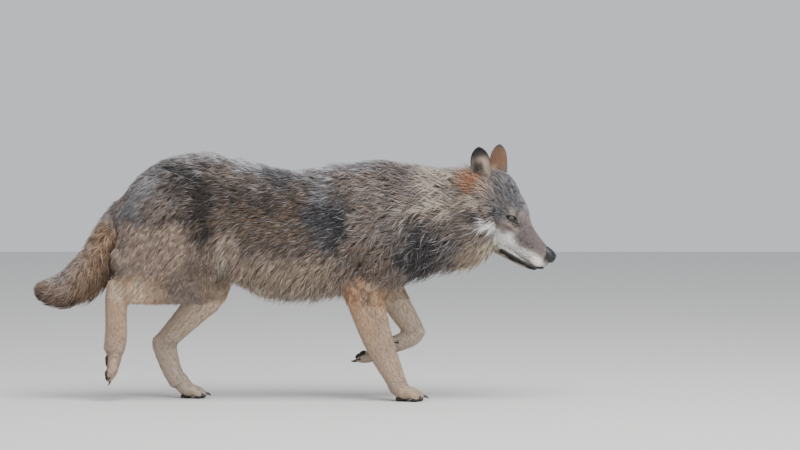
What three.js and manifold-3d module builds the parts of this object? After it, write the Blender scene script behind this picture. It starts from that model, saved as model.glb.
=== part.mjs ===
// A life-size grey wolf, caught in a low trot: the right forefoot and the left hind foot are on the ground,
// the other two feet swing, the head is low and turned a little to the wolf's right, the tail hangs.
//
// Units are millimetres. +X points to the nose, +Y to the wolf's left, +Z up, and the ground is Z = 0.
// Every body part is a loft: rings set along a path and joined by facets. The lofts are joined and parted
// so that each named part is one closed solid, with a thin gap to its neighbours. The solids reach to the
// tips of the winter coat.
import * as THREE from "three";
import { mergeVertices } from "three/addons/utils/BufferGeometryUtils.js";
import Module from "manifold-3d";

const wasm = await Module();
wasm.setup();
const radians = THREE.MathUtils.degToRad;

// ---------------------------------------------------------------------------------------------------
// Driving sizes
// ---------------------------------------------------------------------------------------------------
const GAP = 0.6; // between two parted solids
const BLOCK = 4000; // edge of a cutting block, longer than the whole animal
const STANCE = 60; // the feet's distance from the middle plane

const HEAD = {
  at: [666, -12, 552], // point between the two eyes
  pitch: 30, // nose down, degrees
  yaw: -15, // nose to the wolf's right, degrees
};
const EYE = { at: [1, 40, -1], radius: 13 }; // in the head's own frame
const SOCKET = { at: [9, 55, 0], radii: [20, 10, 12], turn: 32 }; // the opening between the lids
const EAR = { length: 98, halfWidth: 30 };
// Each ear: where its base is, how far it leans out and back, and which way its cup looks (degrees).
const EARS = {
  right: { at: [-126, -57, 54], lean: 12, back: 34, look: -72 },
  left: { at: [-114, 56, 66], lean: 10, back: 26, look: 66 },
};

const FORE_PAW = { scale: 1.0, at: [332, -STANCE, 0], pitch: 0 };
const HIND_PAW = { scale: 0.92, at: [-318, STANCE, 0], pitch: 0 };
const LIFTED_FORE_PAW = { scale: 0.98, at: [241, STANCE, 158], pitch: 150 };
const LIFTED_HIND_PAW = { scale: 0.92, at: [-556, -65, 120], pitch: 90 };

const COAT = {
  back: { color: 0x7d756f, roughness: 0.95 },
  neck: { color: 0x787370, roughness: 0.95 },
  face: { color: 0x8a8480, roughness: 0.9 },
  jaw: { color: 0xb4aea4, roughness: 0.9 },
  ear: { color: 0x85705f, roughness: 0.9 },
  tail: { color: 0x8a7a6c, roughness: 0.95 },
  tailTip: { color: 0x3a3a3c, roughness: 0.95 },
  leg: { color: 0xa68b74, roughness: 0.9 },
  paw: { color: 0xa6917f, roughness: 0.9 },
  nose: { color: 0x26272a, roughness: 0.45 },
  eye: { color: 0x9a7a3c, roughness: 0.15 },
};

// ---------------------------------------------------------------------------------------------------
// Lofts
// ---------------------------------------------------------------------------------------------------
// One ring of a loft: points round a centre. The half sizes are [fore, aft, side]: fore on the ring's
// upper or front side, aft on the other, side across. Square is 2 for an ellipse, more for a boxy ring.
function ring(centre, along, size, { sides, square }) {
  const across = new THREE.Vector3(0, 1, 0).addScaledVector(along, -along.y).normalize();
  const fore = new THREE.Vector3().crossVectors(along, across);
  const round = (v) => Math.sign(v) * Math.abs(v) ** (2 / square);
  return Array.from({ length: sides }, (_, k) => {
    const turn = (2 * Math.PI * k) / sides;
    const up = round(Math.cos(turn)) * (Math.cos(turn) > 0 ? size.x : size.y);
    const out = round(Math.sin(turn)) * size.z;
    return centre.clone().addScaledVector(fore, up).addScaledVector(across, out);
  });
}

// The facets that join the rings of a loft, and close its ends on two poles.
function skinFaces(ringCount, sides) {
  const faces = [];
  const last = (ringCount - 1) * sides;
  const poles = [ringCount * sides, ringCount * sides + 1];
  for (let k = 0; k < sides; k++) {
    const next = (k + 1) % sides;
    for (let start = 0; start < last; start += sides) {
      const [a, b] = [start + k, start + next];
      faces.push(a, b + sides, b, a, a + sides, b + sides);
    }
    faces.push(poles[0], k, next, poles[1], last + next, last + k);
  }
  return faces;
}

// A smooth curve through one entry of every station.
function curveThrough(stations, key) {
  const points = stations.map((s) => new THREE.Vector3(...s[key]));
  return new THREE.CatmullRomCurve3(points, false, "catmullrom");
}

// Rings along a path of stations { at, size }, closed by a dome at each end. The rings stand square to
// the path, or to a fixed axis. Grow makes the loft larger all round, for the pocket that it sits in.
const DOME = 0.6; // how high in each end's dome its extra ring lies, as a share of the dome
function loft(stations, { rings, sides = 12, square = 2.2, axis = null, caps = [16, 16], grow = 0 }) {
  const centres = curveThrough(stations, "at");
  const sizes = curveThrough(stations, "size");
  const grown = new THREE.Vector3(grow, grow, grow);
  const points = [];
  const alongAt = (t) => (axis ? new THREE.Vector3(...axis) : centres.getTangent(t));
  const addRing = (t, shrink, shift) => {
    const size = sizes.getPoint(t).add(grown).multiplyScalar(shrink);
    const centre = centres.getPoint(t).addScaledVector(alongAt(t), shift);
    points.push(...ring(centre, alongAt(t), size, { sides, square }));
  };
  const [startCap, endCap] = caps.map((c) => c + grow);
  const domeWidth = Math.sqrt(1 - DOME * DOME);
  addRing(0, domeWidth, -startCap * DOME);
  for (let i = 0; i <= rings; i++) addRing(i / rings, 1, 0);
  addRing(1, domeWidth, endCap * DOME);
  const ringCount = points.length / sides;
  points.push(centres.getPoint(0).addScaledVector(alongAt(0), -startCap));
  points.push(centres.getPoint(1).addScaledVector(alongAt(1), endCap));

  const geometry = new THREE.BufferGeometry().setFromPoints(points);
  return geometry.setIndex(skinFaces(ringCount, sides));
}

// A ball stretched to three radii and turned about X, Y and Z.
function egg(at, radii, { turns = [0, 0, 0], grow = 0, detail = [10, 7] } = {}) {
  const ball = new THREE.SphereGeometry(1, ...detail);
  ball.scale(...radii.map((r) => r + grow));
  ball.rotateX(radians(turns[0])).rotateY(radians(turns[1])).rotateZ(radians(turns[2]));
  return ball.translate(...at);
}

// A station of a sloping loft, and one of a loft of upright rings, given by its top and bottom heights,
// the height where it is widest, and its half width there.
const station = (x, y, z, fore, aft, side) => ({ at: [x, y, z], size: [fore, aft, side] });
function slice(x, top, bottom, widest, side, y = 0) {
  return station(x, y, widest, top - widest, widest - bottom, side);
}
const UPRIGHT = [1, 0, 0];

// ---------------------------------------------------------------------------------------------------
// Joining and parting
// ---------------------------------------------------------------------------------------------------
function solid(geometry) {
  const bare = geometry.clone();
  bare.deleteAttribute("normal");
  bare.deleteAttribute("uv");
  const merged = mergeVertices(bare, 1e-4);
  const mesh = new wasm.Mesh({
    numProp: 3,
    vertProperties: new Float32Array(merged.attributes.position.array),
    triVerts: new Uint32Array(merged.index.array),
  });
  return new wasm.Manifold(mesh);
}

const join = (...solids) => solids.reduce((all, next) => all.add(next));
const cut = (body, ...tools) => tools.reduce((rest, tool) => rest.subtract(tool), body);

// The largest piece of a solid, so that a cut's loose slivers are dropped.
const largest = (body) => body.decompose().sort((a, b) => b.volume() - a.volume())[0];

function mesh(name, body, material) {
  const { vertProperties, triVerts } = largest(body).getMesh();
  const geometry = new THREE.BufferGeometry();
  geometry.setAttribute("position", new THREE.BufferAttribute(vertProperties, 3));
  geometry.setIndex(new THREE.BufferAttribute(triVerts, 1));
  geometry.computeVertexNormals();
  const made = new THREE.Mesh(geometry, new THREE.MeshStandardMaterial({ metalness: 0, ...material }));
  made.name = name;
  return made;
}

// A block with one face on a plane: it fills the side that the plane's normal points to.
function block(point, normal) {
  const box = new THREE.BoxGeometry(BLOCK, BLOCK, BLOCK).translate(0, 0, BLOCK / 2);
  const turn = new THREE.Quaternion().setFromUnitVectors(new THREE.Vector3(0, 0, 1), normal);
  return box.applyQuaternion(turn).translate(...point.toArray());
}

// Parts one solid in two across a plane, with the thin gap between them: [behind, ahead].
function part(body, at, direction) {
  const point = new THREE.Vector3(...at);
  const normal = new THREE.Vector3(...direction).normalize();
  const behind = cut(body, solid(block(point, normal)));
  const stepped = point.addScaledVector(normal, GAP);
  const ahead = cut(body, solid(block(stepped, normal.negate())));
  return [behind, ahead];
}

// ---------------------------------------------------------------------------------------------------
// Trunk and neck: one long loft of upright rings from the rump to behind the jaws
// ---------------------------------------------------------------------------------------------------
const TRUNK = [
  slice(-512, 606, 480, 545, 58),
  slice(-466, 669, 408, 540, 92),
  slice(-400, 718, 375, 545, 108),
  slice(-320, 743, 368, 550, 116),
  slice(-240, 750, 366, 548, 118),
  slice(-165, 733, 338, 530, 114),
  slice(-95, 715, 304, 505, 114),
  slice(-25, 697, 290, 485, 121),
  slice(50, 697, 292, 480, 129),
  slice(125, 714, 300, 490, 134),
  slice(200, 717, 308, 500, 134),
  slice(265, 725, 322, 512, 133),
  slice(330, 716, 342, 522, 131),
  slice(395, 709, 364, 532, 130),
  slice(455, 704, 380, 538, 129, -1),
  slice(520, 702, 388, 542, 124, -4),
  slice(575, 686, 402, 542, 108, -8),
];
const NECK_PLANE = { at: [352, 0, 540], normal: [1, 0, -0.25] };
const torsoLoft = (grow = 0) => loft(TRUNK, { rings: 16, sides: 14, axis: UPRIGHT, caps: [26, 40], grow });

// ---------------------------------------------------------------------------------------------------
// Legs
// ---------------------------------------------------------------------------------------------------
// Right forelimb, planted. Shoulder blade and upper arm down to the elbow, then the forearm to the wrist.
const RIGHT_SHOULDER = [
  station(262, -60, 630, 54, 50, 30),
  station(288, -74, 560, 90, 74, 38),
  station(290, -86, 480, 104, 90, 55),
  station(264, -82, 405, 92, 88, 51),
  station(226, -73, 340, 66, 66, 42),
];
const RIGHT_FOREARM = [
  station(204, -72, 362, 60, 58, 40),
  station(220, -70, 318, 61, 63, 42),
  station(236, -67, 262, 54, 58, 38),
  station(254, -64, 205, 48, 52, 33),
  station(274, -62, 150, 43, 45, 30),
  station(292, -61, 106, 39, 38, 29),
  station(306, -60, 74, 35, 32, 29),
  station(320, -60, 46, 30, 30, 31),
];
// Left forelimb, lifted: the forearm reaches forward and the foot folds back under it.
const LEFT_SHOULDER = [
  station(262, 60, 630, 54, 50, 30),
  station(290, 74, 560, 90, 74, 38),
  station(296, 86, 490, 104, 90, 55),
  station(280, 81, 430, 88, 80, 49),
  station(262, 75, 390, 62, 60, 42),
];
const LEFT_FOREARM = [
  station(246, 74, 408, 56, 52, 40),
  station(272, 72, 356, 54, 50, 40),
  station(304, 68, 302, 46, 43, 36),
  station(338, 64, 248, 41, 38, 32),
  station(364, 62, 210, 35, 33, 30),
];
const LEFT_PASTERN = [
  station(380, 62, 208, 29, 26, 28),
  station(360, 62, 188, 33, 29, 28),
  station(332, 61, 172, 30, 28, 27),
  station(304, 60, 162, 27, 26, 27),
];
// Right hind limb, swinging: thigh, level shank, upright foot with the toes hanging.
const RIGHT_THIGH = [
  station(-350, -62, 660, 66, 72, 42),
  station(-366, -70, 602, 96, 100, 52),
  station(-380, -72, 530, 130, 124, 57),
  station(-380, -72, 460, 152, 150, 58),
  station(-376, -71, 400, 160, 160, 54),
  station(-360, -70, 350, 140, 150, 48),
  station(-352, -70, 314, 98, 114, 40),
];
const RIGHT_SHANK = [
  station(-392, -70, 330, 38, 36, 30),
  station(-440, -68, 334, 40, 44, 31),
  station(-480, -67, 338, 40, 42, 29),
  station(-512, -66, 342, 36, 32, 27),
];
const RIGHT_METATARSUS = [
  station(-520, -65, 352, 30, 31, 25),
  station(-522, -65, 315, 37, 36, 26),
  station(-524, -65, 265, 36, 34, 25),
  station(-524, -65, 215, 36, 34, 25),
  station(-525, -65, 180, 36, 36, 27),
  station(-527, -65, 156, 32, 36, 30),
];
// Left hind limb, planted.
const LEFT_THIGH = [
  station(-350, 62, 660, 66, 72, 42),
  station(-345, 70, 600, 96, 100, 52),
  station(-335, 72, 530, 124, 124, 57),
  station(-312, 72, 460, 130, 142, 57),
  station(-278, 71, 400, 110, 132, 50),
  station(-248, 70, 350, 78, 96, 42),
];
const LEFT_SHANK = [
  station(-232, 70, 360, 56, 58, 36),
  station(-254, 69, 308, 55, 58, 37),
  station(-298, 66, 260, 46, 48, 33),
  station(-344, 64, 212, 39, 40, 29),
  station(-376, 62, 180, 34, 34, 27),
];
const LEFT_METATARSUS = [
  station(-398, 62, 180, 30, 28, 24),
  station(-388, 62, 158, 39, 36, 26),
  station(-376, 61, 122, 36, 34, 25),
  station(-362, 60, 84, 31, 32, 26),
  station(-344, 60, 50, 28, 30, 28),
];

// ---------------------------------------------------------------------------------------------------
// Paws, in a frame of their own: toes forward along +X, sole on Z = 0, origin under the middle of the foot
// ---------------------------------------------------------------------------------------------------
const PLANTED_PALM = [
  station(-20, 0, 62, 26, 26, 28),
  station(-10, 0, 42, 29, 29, 33),
  station(4, 0, 27, 27, 27, 38),
  station(24, 0, 22, 18, 21, 38),
];
// In a swinging foot the palm is in line with the toes.
const SWINGING_PALM = [
  station(-54, 0, 30, 25, 25, 26),
  station(-30, 0, 30, 28, 28, 31),
  station(-4, 0, 27, 27, 27, 37),
  station(24, 0, 22, 18, 21, 38),
];
const TOE = { rows: [-33, -12, 12, 33], reach: [40, 54, 54, 40], radius: 15.5 };
const CLAW = { length: 17, radius: 4, droop: 34 };

// One toe, and its claw, in the row at y that reaches forward by reach.
function toe(y, reach) {
  const r = TOE.radius;
  const path = [
    station(6, y * 0.8, 26, r, r, r - 2),
    station(reach * 0.55, y, 28, r - 0.5, r + 3, r - 1),
    station(reach * 0.9, y * 1.06, 13, r - 1, r + 1, r - 2),
  ];
  return loft(path, { rings: 2, sides: 6, caps: [6, 12] });
}
function claw(y, reach) {
  const cone = new THREE.ConeGeometry(CLAW.radius, CLAW.length, 4).rotateZ(-Math.PI / 2);
  return cone.rotateY(radians(CLAW.droop)).translate(reach + 15, y * 1.08, 13);
}

function pawSolid(stations) {
  const palm = loft(stations, { rings: 3, sides: 8, caps: [12, 12] });
  const heel = egg([-8, 0, 12], [24, 26, 16], { detail: [6, 4] });
  const toes = TOE.rows.flatMap((y, k) => [toe(y, TOE.reach[k]), claw(y, TOE.reach[k])]);
  const ground = new THREE.Vector3(0, 0, 0);
  const sole = solid(block(ground, new THREE.Vector3(0, 0, -1)));
  return cut(join(...[palm, heel, ...toes].map(solid)), sole);
}

// ---------------------------------------------------------------------------------------------------
// Tail
// ---------------------------------------------------------------------------------------------------
const TAIL = [
  station(-508, 0, 568, 46, 44, 44),
  station(-540, 0, 505, 60, 50, 52),
  station(-570, 0, 440, 68, 60, 60),
  station(-603, 0, 390, 72, 68, 64),
  station(-640, 0, 353, 71, 67, 63),
  station(-684, 0, 330, 58, 56, 54),
  station(-724, 0, 325, 42, 40, 40),
  station(-756, 0, 328, 26, 26, 26),
];
const TAIL_CUTS = [
  { at: [-598, 0, 396], normal: [-0.6, 0, -0.8] },
  { at: [-718, 0, 326], normal: [-1, 0, 0] },
];
const tailLoft = (grow = 0) => loft(TAIL, { rings: 9, sides: 12, caps: [26, 30], grow });

// ---------------------------------------------------------------------------------------------------
// Head, in a frame of its own: +X to the nose, +Z to the crown, origin between the eyes
// ---------------------------------------------------------------------------------------------------
const SKULL = [
  slice(-150, 76, -128, -62, 88),
  slice(-118, 96, -156, -66, 104),
  slice(-80, 102, -162, -66, 106),
  slice(-48, 90, -148, -60, 92),
  slice(-20, 75, -132, -54, 72),
  slice(4, 61, -120, -44, 56),
  slice(28, 45, -108, -40, 48),
  slice(44, 24, -100, -42, 44),
];
const MUZZLE = [
  slice(16, 46, -98, -44, 47),
  slice(44, 21, -98, -46, 42),
  slice(75, -1, -98, -50, 37),
  slice(105, -15, -97, -55, 34),
  slice(135, -25, -94, -58, 32),
  slice(154, -33, -86, -58, 26),
];
const JAW = [
  slice(8, -66, -128, -96, 42),
  slice(40, -76, -124, -100, 34),
  slice(75, -86, -121, -102, 28),
  slice(108, -90, -117, -102, 25),
  slice(132, -90, -110, -98, 19),
];
const NOSE = [
  slice(142, -28, -66, -46, 15),
  slice(156, -29, -68, -46, 19),
  slice(168, -33, -62, -47, 16),
];
const NOSTRIL = { at: [170, 8.5, -47], radii: [8, 4, 4.5], turn: 25 };

const headFrame = new THREE.Matrix4().compose(
  new THREE.Vector3(...HEAD.at),
  new THREE.Quaternion().setFromEuler(new THREE.Euler(0, radians(HEAD.pitch), radians(HEAD.yaw), "ZYX")),
  new THREE.Vector3(1, 1, 1),
);
function upright(stations, rings, sides, caps, more) {
  return solid(loft(stations, { rings, sides, caps, axis: UPRIGHT, ...more }));
}
function faceSolid(grow) {
  const skull = upright(SKULL, 8, 13, [26, 12], { square: 2.1, grow });
  const muzzle = upright(MUZZLE, 5, 12, [10, 10], { square: 2.6, grow });
  return join(skull, muzzle);
}
const jawSolid = () => upright(JAW, 4, 10, [24, 8]);
const noseSolid = (grow) => upright(NOSE, 3, 10, [6, 5], { grow });

// The same thing on both sides of the face, given for the left: [right, left].
const bothSides = (make) => [-1, 1].map(make);
const eyeball = (side, grow) => {
  const [x, y, z] = EYE.at;
  return solid(egg([x, side * y, z], [EYE.radius, EYE.radius, EYE.radius], { grow, detail: [9, 6] }));
};
const socket = (side) => {
  const [x, y, z] = SOCKET.at;
  return solid(egg([x, side * y, z], SOCKET.radii, { turns: [0, 0, -side * SOCKET.turn], detail: [8, 6] }));
};
const nostril = (side) => {
  const [x, y, z] = NOSTRIL.at;
  return solid(egg([x, side * y, z], NOSTRIL.radii, { turns: [0, 0, side * NOSTRIL.turn], detail: [6, 4] }));
};

// An ear stands on its base with its length along +Z and its cup open to +X. Its rings are listed from
// the tip down: height and half width as shares of the ear, then how deep it is before and behind.
const EAR_RIM = [
  [1, 0.34, 6, 6],
  [0.9, 0.62, 9, 9],
  [0.7, 0.9, 14, 12],
  [0.4, 1, 22, 16],
  [0.08, 0.96, 26, 18],
  [-0.2, 0.8, 24, 16],
];
const EAR_CUP = [
  [0.9, 0.37, 2],
  [0.7, 0.67, 5],
  [0.42, 0.75, 9],
  [0.16, 0.51, 5],
];
const CUP_REACH = 40; // the cup's tool runs this far out of the ear's open side

function earSolid() {
  const { length, halfWidth } = EAR;
  const rim = EAR_RIM.map(([up, wide, open, back]) =>
    station(0, 0, up * length, open, back, wide * halfWidth));
  const cup = EAR_CUP.map(([up, wide, back]) =>
    station(0, 0, up * length, CUP_REACH, back, wide * halfWidth));
  const level = { sides: 10, square: 2, axis: [0, 0, -1] };
  const shell = loft(rim, { ...level, rings: 5, caps: [6, 10] });
  const hollow = loft(cup, { ...level, rings: 4, caps: [6, 8] });
  return cut(solid(shell), solid(hollow));
}

function earPlace({ at, lean, back, look }, side) {
  return new THREE.Matrix4()
    .makeTranslation(...at)
    .multiply(new THREE.Matrix4().makeRotationX(radians(-side * lean)))
    .multiply(new THREE.Matrix4().makeRotationY(radians(-back)))
    .multiply(new THREE.Matrix4().makeRotationZ(radians(look)));
}

// The head's parts. The neck, grown and in the head's frame, is cut away from whatever dips into it.
function headParts(neck) {
  const face = faceSolid(0);
  const faceGrown = faceSolid(GAP);
  const ear = earSolid();
  const [right, left] = bothSides((side) => {
    const place = earPlace(side < 0 ? EARS.right : EARS.left, side);
    return cut(ear.transform(place.elements), faceGrown, neck);
  });
  const openings = [noseSolid(GAP), ...bothSides((side) => eyeball(side, GAP)), ...bothSides(socket)];

  const group = new THREE.Group();
  group.applyMatrix4(headFrame);
  group.add(mesh("head", cut(face, neck, ...openings), COAT.face));
  group.add(mesh("lower_jaw", cut(jawSolid(), faceGrown, neck), COAT.jaw));
  group.add(mesh("nose", cut(noseSolid(0), ...bothSides(nostril)), COAT.nose));
  group.add(mesh("ear_right", right, COAT.ear));
  group.add(mesh("ear_left", left, COAT.ear));
  group.add(mesh("eye_right", eyeball(-1, 0), COAT.eye));
  group.add(mesh("eye_left", eyeball(1, 0), COAT.eye));
  return group;
}

// ---------------------------------------------------------------------------------------------------
// The whole wolf
// ---------------------------------------------------------------------------------------------------
const wolf = new THREE.Group();
const planted = pawSolid(PLANTED_PALM);
const swinging = pawSolid(SWINGING_PALM);

// Adds a leg: a list of [name, stations, rings] from the body down, then the paw. Each part is cut back
// from the one below it, and the paw from the part above it. Returns the whole leg, grown.
function addLeg(leg, segments, pawShape, { scale, at, pitch }) {
  const shapes = segments.map(([, stations, rings]) => (grow) => solid(loft(stations, { rings, sides: 10, grow })));
  const paw = pawShape.scale(scale).rotate([0, pitch, 0]).translate(at);
  segments.forEach(([name], k) => {
    const below = shapes.slice(k + 1).map((shape) => shape(GAP));
    wolf.add(mesh(`${leg}_${name}`, cut(shapes[k](0), ...below), COAT.leg));
  });
  wolf.add(mesh(`${leg}_paw`, cut(paw, ...shapes.map((shape) => shape(GAP))), COAT.paw));
  return join(...shapes.map((shape) => shape(GAP)));
}

const legs = [
  addLeg(
    "fore_right",
    [["shoulder", RIGHT_SHOULDER, 5], ["forearm", RIGHT_FOREARM, 6]],
    planted,
    FORE_PAW,
  ),
  addLeg(
    "fore_left",
    [["shoulder", LEFT_SHOULDER, 5], ["forearm", LEFT_FOREARM, 4], ["pastern", LEFT_PASTERN, 3]],
    swinging,
    LIFTED_FORE_PAW,
  ),
  addLeg(
    "hind_right",
    [["thigh", RIGHT_THIGH, 6], ["shank", RIGHT_SHANK, 3], ["metatarsus", RIGHT_METATARSUS, 5]],
    swinging,
    LIFTED_HIND_PAW,
  ),
  addLeg(
    "hind_left",
    [["thigh", LEFT_THIGH, 6], ["shank", LEFT_SHANK, 5], ["metatarsus", LEFT_METATARSUS, 4]],
    planted,
    HIND_PAW,
  ),
];

const torso = cut(solid(torsoLoft()), ...legs);
const [trunk, neck] = part(torso, NECK_PLANE.at, NECK_PLANE.normal);
wolf.add(mesh("trunk", trunk, COAT.back));
wolf.add(mesh("neck", neck, COAT.neck));
wolf.add(headParts(solid(torsoLoft(GAP).applyMatrix4(headFrame.clone().invert()))));

const tailBody = cut(solid(tailLoft()), solid(torsoLoft(GAP)), ...legs);
const [tailRoot, tailRest] = part(tailBody, TAIL_CUTS[0].at, TAIL_CUTS[0].normal);
const [tail, tailTip] = part(tailRest, TAIL_CUTS[1].at, TAIL_CUTS[1].normal);
wolf.add(mesh("tail_root", tailRoot, COAT.tail));
wolf.add(mesh("tail", tail, COAT.tail));
wolf.add(mesh("tail_tip", tailTip, COAT.tailTip));

// The origin is on the ground, under the middle of the wolf's box.
const middle = new THREE.Box3().setFromObject(wolf, true).getCenter(new THREE.Vector3());
wolf.position.set(-middle.x, -middle.y, 0);
wolf.updateMatrixWorld(true);

export default wolf;
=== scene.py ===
# %% [markdown]
# # A grey wolf in a low trot
#
# This lesson dresses a life-size model of a wolf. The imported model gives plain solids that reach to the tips
# of the winter coat. Here one smooth skin takes their place, lying inside them by the depth of the coat, and
# a coat of many thousands of solid tufts grows from that skin. Eyes, eyelids, nose, claws, pads and whiskers
# are pieces of their own.
#
# The frame comes first. It fixes the size and the place of everything, in metres, with the nose towards +X,
# the wolf's left towards +Y and the ground at Z = 0.

# %% Load the frame
import math
import time

import bpy
import numpy as np
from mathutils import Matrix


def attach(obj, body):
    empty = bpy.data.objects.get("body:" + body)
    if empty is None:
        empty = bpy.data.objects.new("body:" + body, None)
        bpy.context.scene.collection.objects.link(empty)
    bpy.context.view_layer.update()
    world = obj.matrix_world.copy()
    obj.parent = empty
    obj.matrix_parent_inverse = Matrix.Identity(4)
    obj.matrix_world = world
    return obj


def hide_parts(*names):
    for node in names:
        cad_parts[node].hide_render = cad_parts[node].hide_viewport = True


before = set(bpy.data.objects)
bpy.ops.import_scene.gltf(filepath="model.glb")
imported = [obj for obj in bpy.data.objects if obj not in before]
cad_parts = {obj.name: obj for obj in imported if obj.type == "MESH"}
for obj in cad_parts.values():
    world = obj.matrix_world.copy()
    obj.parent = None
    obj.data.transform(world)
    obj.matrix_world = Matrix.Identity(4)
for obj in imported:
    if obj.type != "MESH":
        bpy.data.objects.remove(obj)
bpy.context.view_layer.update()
started = time.time()

# %% [markdown]
# ## Units and small helpers
#
# The body is easier to think about in millimetres, so the tables below are in millimetres and one number
# turns them into metres at the end. The tables also count from the middle of the standing feet, while the
# frame counts from the middle of its box, so a short shift goes between the two. Colours are picked as a
# screen shows them, and Blender wants linear light, so they go through one conversion.

# %% Units and helpers
MM = 0.001
SHIFT = np.array([-3.49, 0.73, 0.0])  # from the tables' origin to the frame's, mm
FAR = 400.0  # a distance that counts as nowhere near, mm


def to_frame(points):
    return (np.asarray(points) + SHIFT) * MM


def unit(v):
    return v / np.maximum(np.linalg.norm(v, axis=-1, keepdims=True), 1e-9)


def linear(colour):
    c = np.asarray(colour, float)
    return np.where(c <= 0.04045, c / 12.92, ((c + 0.055) / 1.055) ** 2.4)


def smooth_step(low, high, x):
    t = np.clip((x - low) / (high - low), 0, 1)
    return t * t * (3 - 2 * t)


def ripple(points, size, seed, waves=9):
    """A smooth random value between about -1 and 1 at each point, with bumps about size apart."""
    rng = np.random.default_rng(seed)
    turns = unit(rng.normal(size=(waves, 3))) * rng.uniform(0.7, 1.5, (waves, 1)) * 2 * math.pi / size
    phase = rng.uniform(0, 2 * math.pi, waves)
    return np.sin(points @ turns.T + phase).sum(1) / math.sqrt(waves * 1.2)


def through(rows, steps=4):
    """The rows of a table, with rows added between them on a smooth curve."""
    rows = np.array(rows, float)
    padded = np.vstack([2 * rows[0] - rows[1], rows, 2 * rows[-1] - rows[-2]])
    made = []
    for a, b, c, d in zip(padded, padded[1:], padded[2:], padded[3:]):
        for t in np.arange(steps) / steps:
            bend = (2 * a - 5 * b + 4 * c - d) * t * t + (3 * b - a - 3 * c + d) * t ** 3
            made.append(0.5 * (2 * b + (c - a) * t + bend))
    return np.array(made + [rows[-1]])


def turn_y(degrees):
    c, s = math.cos(math.radians(degrees)), math.sin(math.radians(degrees))
    return np.array([[c, 0, s], [0, 1, 0], [-s, 0, c]])


def turn_z(degrees):
    c, s = math.cos(math.radians(degrees)), math.sin(math.radians(degrees))
    return np.array([[c, -s, 0], [s, c, 0], [0, 0, 1]])


def turn_x(degrees):
    c, s = math.cos(math.radians(degrees)), math.sin(math.radians(degrees))
    return np.array([[1, 0, 0], [0, c, -s], [0, s, c]])


# %% [markdown]
# ## The camera, the floor and the light
#
# The wolf is seen from its right side through a long lens, a little above its own height and a long way off,
# so the view is almost flat. The light is that of an overcast day: one broad soft source overhead, a weaker
# one from the front, and a pale room all round.

# %% Camera, floor and light
VIEW_WIDTH = 2.4  # metres across the picture at the wolf
VIEW_CENTRE = (0.322, 0.0, 0.525)
CAMERA_DISTANCE = 14.0
CAMERA_RISE = 2.5  # degrees


def aim(thing, point):
    direction = np.array(point) - np.array(thing.location)
    level = math.hypot(direction[0], direction[1])
    yaw = math.atan2(-direction[0], direction[1])
    thing.rotation_euler = (math.pi / 2 + math.atan2(direction[2], level), 0, yaw)


camera = bpy.data.objects.new("camera", bpy.data.cameras.new("camera"))
bpy.context.scene.collection.objects.link(camera)
rise = math.radians(CAMERA_RISE)
camera.location = (
    VIEW_CENTRE[0],
    VIEW_CENTRE[1] - CAMERA_DISTANCE * math.cos(rise),
    VIEW_CENTRE[2] + CAMERA_DISTANCE * math.sin(rise),
)
camera.data.lens = camera.data.sensor_width * CAMERA_DISTANCE / VIEW_WIDTH
camera.data.clip_end = 60
aim(camera, VIEW_CENTRE)
bpy.context.scene.camera = camera


def soft_light(name, place, size, power):
    light = bpy.data.lights.new(name, "AREA")
    light.shape = "DISK"
    light.size = size
    light.energy = power
    made = bpy.data.objects.new(name, light)
    made.location = place
    aim(made, (0, 0, 0.45))
    bpy.context.scene.collection.objects.link(made)


soft_light("sky_light", (0.9, -2.2, 5.0), 4.5, 420)
soft_light("front_light", (3.5, -5.0, 1.8), 3.0, 130)

world = bpy.data.worlds.new("room")
world.use_nodes = True
world.node_tree.nodes["Background"].inputs["Color"].default_value = (0.80, 0.83, 0.88, 1)
world.node_tree.nodes["Background"].inputs["Strength"].default_value = 0.85
bpy.context.scene.world = world
print("camera lens", round(camera.data.lens), "mm")

# %% [markdown]
# ## The forms of the body
#
# A real wolf under its winter coat is a slim, deep-chested dog. The outline that one sees is the coat's, so
# the tables give that outline, with one more number for how deep the coat is there. Upright slices suit the
# barrel of the body and the head. Stations with a front, a back and a side radius suit legs and tail.
#
# Slices read: x, top, bottom, height where widest, half width, y. The depth table reads: x, coat on the
# back, on the side, under the belly.

# %% Trunk and neck
TORSO = through([
    (-512, 606, 480, 545, 58, 0),
    (-466, 669, 408, 540, 92, 0),
    (-400, 718, 375, 545, 108, 0),
    (-320, 743, 368, 550, 116, 0),
    (-240, 750, 366, 548, 118, 0),
    (-165, 733, 338, 530, 114, 0),
    (-95, 715, 304, 505, 114, 0),
    (-25, 697, 290, 485, 121, 0),
    (50, 697, 292, 480, 129, 0),
    (125, 714, 300, 490, 134, 0),
    (200, 717, 308, 500, 134, 0),
    (265, 725, 322, 512, 133, 0),
    (330, 716, 342, 522, 131, 0),
    (395, 709, 364, 532, 130, 0),
    (455, 704, 380, 538, 129, -1),
    (520, 702, 388, 542, 124, -4),
    (575, 686, 402, 542, 108, -8),
])
TORSO_COAT = through([
    (-512, 20, 16, 16),
    (-400, 28, 20, 24),
    (-240, 32, 22, 30),
    (-95, 33, 23, 40),
    (50, 36, 26, 44),
    (200, 40, 28, 46),
    (330, 42, 32, 42),
    (455, 46, 38, 46),
    (575, 42, 36, 48),
])


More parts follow.
